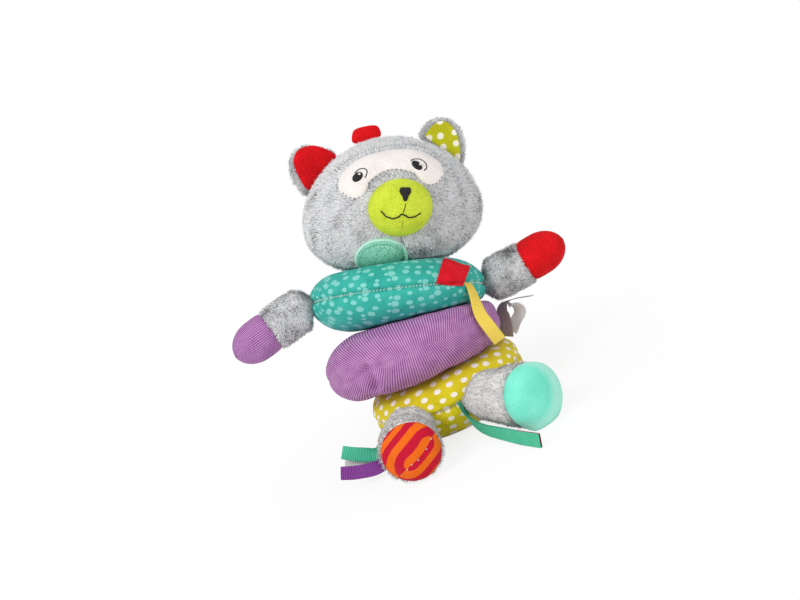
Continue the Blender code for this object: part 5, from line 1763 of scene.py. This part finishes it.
tag = grid_piece("red_square_tag", 14, 12, tag_place, 0.0007)
give(tag, red_felt, "red_cloth", "teal", "red_tag")
tag_side = (tag_place(0, 0.5) - tag_place(1, 0.5)).length, (tag_place(0.5, 0) - tag_place(0.5, 1)).length
max(0.010, tag_side[0])
max(0.010, tag_side[1])
tag_edge = [tag_place(0.03 + 0.94 * i / 60, 0.06) for i in range(61)]
sew("tag_thread", running(tag_edge, 0.0016, 0.0012, teal_tree, 0.0009), 0.0005, 0.0003, dark_thread, "red_cloth", "teal")
print("tag", [round(1000 * side, 1) for side in tag_side], "mm")

# %% [markdown]
# Ribbons are strips of grosgrain with one end in a seam. Each follows a route of a few points from its place in
# the seam, given along the seam, out from it and up, and its width turns from lying flat to its way at the
# far end. The ribs run straight across it. It gets a real thickness and a fine edge.

# %% Ribbons
def seam_frame(cushion_at, reach, around):
    """A frame in a cushion's seam: X along the seam, Y out from it, Z up."""
    a = math.radians(around)
    centre = cushion_at.translation
    out = (cushion_at @ Vector((math.cos(a), math.sin(a), 0)) - centre).normalized()
    axis = out.cross(cushion_at.col[2].to_3d()).normalized()
    point = centre + out * (reach + 0.0003)
    return Matrix.Translation(point) @ Matrix((axis, out, axis.cross(out).normalized())).transposed().to_4x4()


def ribbon(name, at, route, across, width, material, slot, body, nodes, layer=0.0, thickness=0.0008, belly=0.0):
    path = curve_through([at @ Vector(p) for p in route], 5)
    lengths = np.cumsum([0.0] + [(b - a).length for a, b in zip(path, path[1:])])
    ways = [(at.to_3x3() @ Vector(way)).normalized() for way in across]

    def place(s, t):
        run = s * lengths[-1]
        i = min(len(path) - 2, max(0, int(np.searchsorted(lengths, run) - 1)))
        part = (run - lengths[i]) / max(lengths[i + 1] - lengths[i], 1e-9)
        spot = path[i].lerp(path[i + 1], part)
        before, after = path[max(0, i - 1)], path[min(len(path) - 1, i + 2)]
        along = (after - before).normalized()
        side = ways[0].lerp(ways[1], smooth(s))
        side = (side - along * side.dot(along)).normalized()
        face = along.cross(side)
        bow = belly * (1 - (2 * t - 1) ** 2)
        return spot + side * width * (t - 0.5) + face * (layer + thickness + bow)
    piece = grid_piece(name, max(24, 8 * len(route)), 6, place, thickness * 0.7)
    print(name, round(1000 * float(lengths[-1]), 1), "mm long")
    return give(piece, material, slot, body, *nodes), float(lengths[-1])


ROOT = (0.0, 0.0006, 0.0)
LAYER = 0.0011
YELLOW_ROUTE = ((0.0020, 0.0006, 0.0), (0.0026, 0.0035, -0.0046), (0.0038, 0.0062, -0.0116),
                (0.0060, 0.0102, -0.0222), (0.0038, 0.0145, -0.0315), (-0.0014, 0.0175, -0.0405))
ribbon("yellow_grosgrain", seam_frame(TEAL_AT, 0.056, -39), YELLOW_ROUTE, ((1, 0, 0), (0.34, -0.71, -0.63)), 0.0088,
       yellow_ribbon, "yellow_ribbon", "yellow_ribbon", ["yellow_ribbon"])
FLAT_TO_UPRIGHT = ((1, 0, 0), (0, 0, 1))
UPPER_ROUTE = (ROOT, (-0.0030, 0.0050, -0.0006), (-0.0086, 0.0115, -0.0038), (-0.0114, 0.0205, -0.0082),
               (-0.0074, 0.0314, -0.0032), (-0.0026, 0.0396, 0.0028))
MIDDLE_ROUTE = ((0.0, 0.0006, -LAYER), (0.0, 0.0038, -LAYER - 0.0016), (-0.0030, 0.0080, -0.0105),
                (-0.0055, 0.0150, -0.0145), (-0.0060, 0.0213, -0.0150), (-0.0029, 0.0306, -0.0113),
                (0.0017, 0.0392, -0.0057))
LOWER_ROUTE = (ROOT, (0.0, 0.0040, -0.0014), (0.0000, 0.0095, -0.0085), (-0.0021, 0.0215, -0.0130),
               (-0.0010, 0.0305, -0.0140), (0.0077, 0.0393, -0.0118), (0.0139, 0.0472, -0.0075))
for name, around, route, finish, slot, node in (
    ("mint_grosgrain", -152.4, UPPER_ROUTE, mint_ribbon, "mint_ribbon", "mint_tag"),
    ("white_grosgrain", -152.4, MIDDLE_ROUTE, white_ribbon, "white_ribbon", "white_tag"),
    ("purple_grosgrain", -141.4, LOWER_ROUTE, purple_ribbon, "purple_ribbon", "purple_tag"),
):
    ribbon(name, seam_frame(BASE_AT, 0.051, around), route, FLAT_TO_UPRIGHT, 0.0092, finish, slot, "base", [node])
RIGHT_ROUTE = ((-0.0056, 0.0006, -0.0006), (-0.0056, 0.0045, -0.0030), (-0.0064, 0.0095, -0.0085),
               (-0.0090, 0.0155, -0.0130), (-0.0138, 0.0255, -0.0158), (-0.0226, 0.0459, -0.0165),
               (-0.0310, 0.0657, -0.0168), (-0.0408, 0.0854, -0.0172))
for name, finish, slot, node, layer in (
    ("long_grosgrain", mint_ribbon, "mint_ribbon", "long_ribbon", LAYER),
    ("long_grosgrain_back", two_tone_ribbon, "crimson_ribbon", "long_ribbon_lining", 0.0),
):
    ribbon(name, seam_frame(BASE_AT, 0.051, -92), RIGHT_ROUTE, ((0.25, 0, 1), (-0.3, 0, 0.95)), 0.0092, finish, slot,
           "base", [node], layer)

# %% [markdown]
# At the right end of the purple cushion hang a dark strap of webbing, bent like a C, and a pale label that
# curls back on itself. Both are wider than the ribbons and stiffer.

# %% Strap and label
STRAP_ROUTE = ((-0.0008, 0.0024, -0.0173), (0.0011, 0.0046, -0.0089), (0.0023, 0.0052, -0.0034),
               (0.0034, 0.0060, 0.0012), (0.0042, 0.0100, 0.0046), (0.0046, 0.0174, 0.0044), (0.0051, 0.0283, 0.0020))
LABEL_ROUTE = ((0.0044, 0.0106, 0.0022), (0.0049, 0.0140, 0.0018), (0.0046, 0.0173, -0.0025),
               (0.0034, 0.0162, -0.0066), (0.0018, 0.0118, -0.0106), (-0.0002, 0.0074, -0.0154))
strap_at = seam_frame(PURPLE_AT, 0.058, 8)
strap, strap_length = ribbon("dark_webbing", strap_at, STRAP_ROUTE, ((0.77, 0.64, 0.0), (1.0, 0.05, 0.0)), 0.012,
                             dark_strap, "dark_strap", "purple", ["dark_strap"])
label, label_length = ribbon("pale_label", strap_at, LABEL_ROUTE, ((0.83, 0.50, -0.20), (0.77, 0.64, 0.0)), 0.011,
                             label_cloth, "white_label", "purple", ["white_label"])
print("strap and label hung")

# %% Stitches of the base's seam, but not where the legs are sewn in
LEG_ROOM = 0.0165
base_stitches = [stitch for stitch in seam_stitches(base, BASE_AT, 0.051, 0.0026, 0.0006, (-178, 178))
                 if min((stitch[0] - leg.root).length for leg in (left_leg, right_leg)) > LEG_ROOM]
sew("base_seam_thread", base_stitches, 0.00050, 0.0004, white_thread, "chartreuse_dots", "base")

# %% White stitches across the striped sole
made = []
for x, y in ((406.7, 470.3), (411.0, 465.4), (417.6, 460.8), (425.7, 449.9), (430.3, 439.6)):
    start, normal = in_picture(x, y, sole_tree)
    end, _ = in_picture(x + 1.3, y - 1.5, sole_tree)
    made.append((start, end, normal))
sew("sole_thread", made, 0.0006, 0.0003, white_thread, "striped_sole", "left_leg")
print("sole stitched")
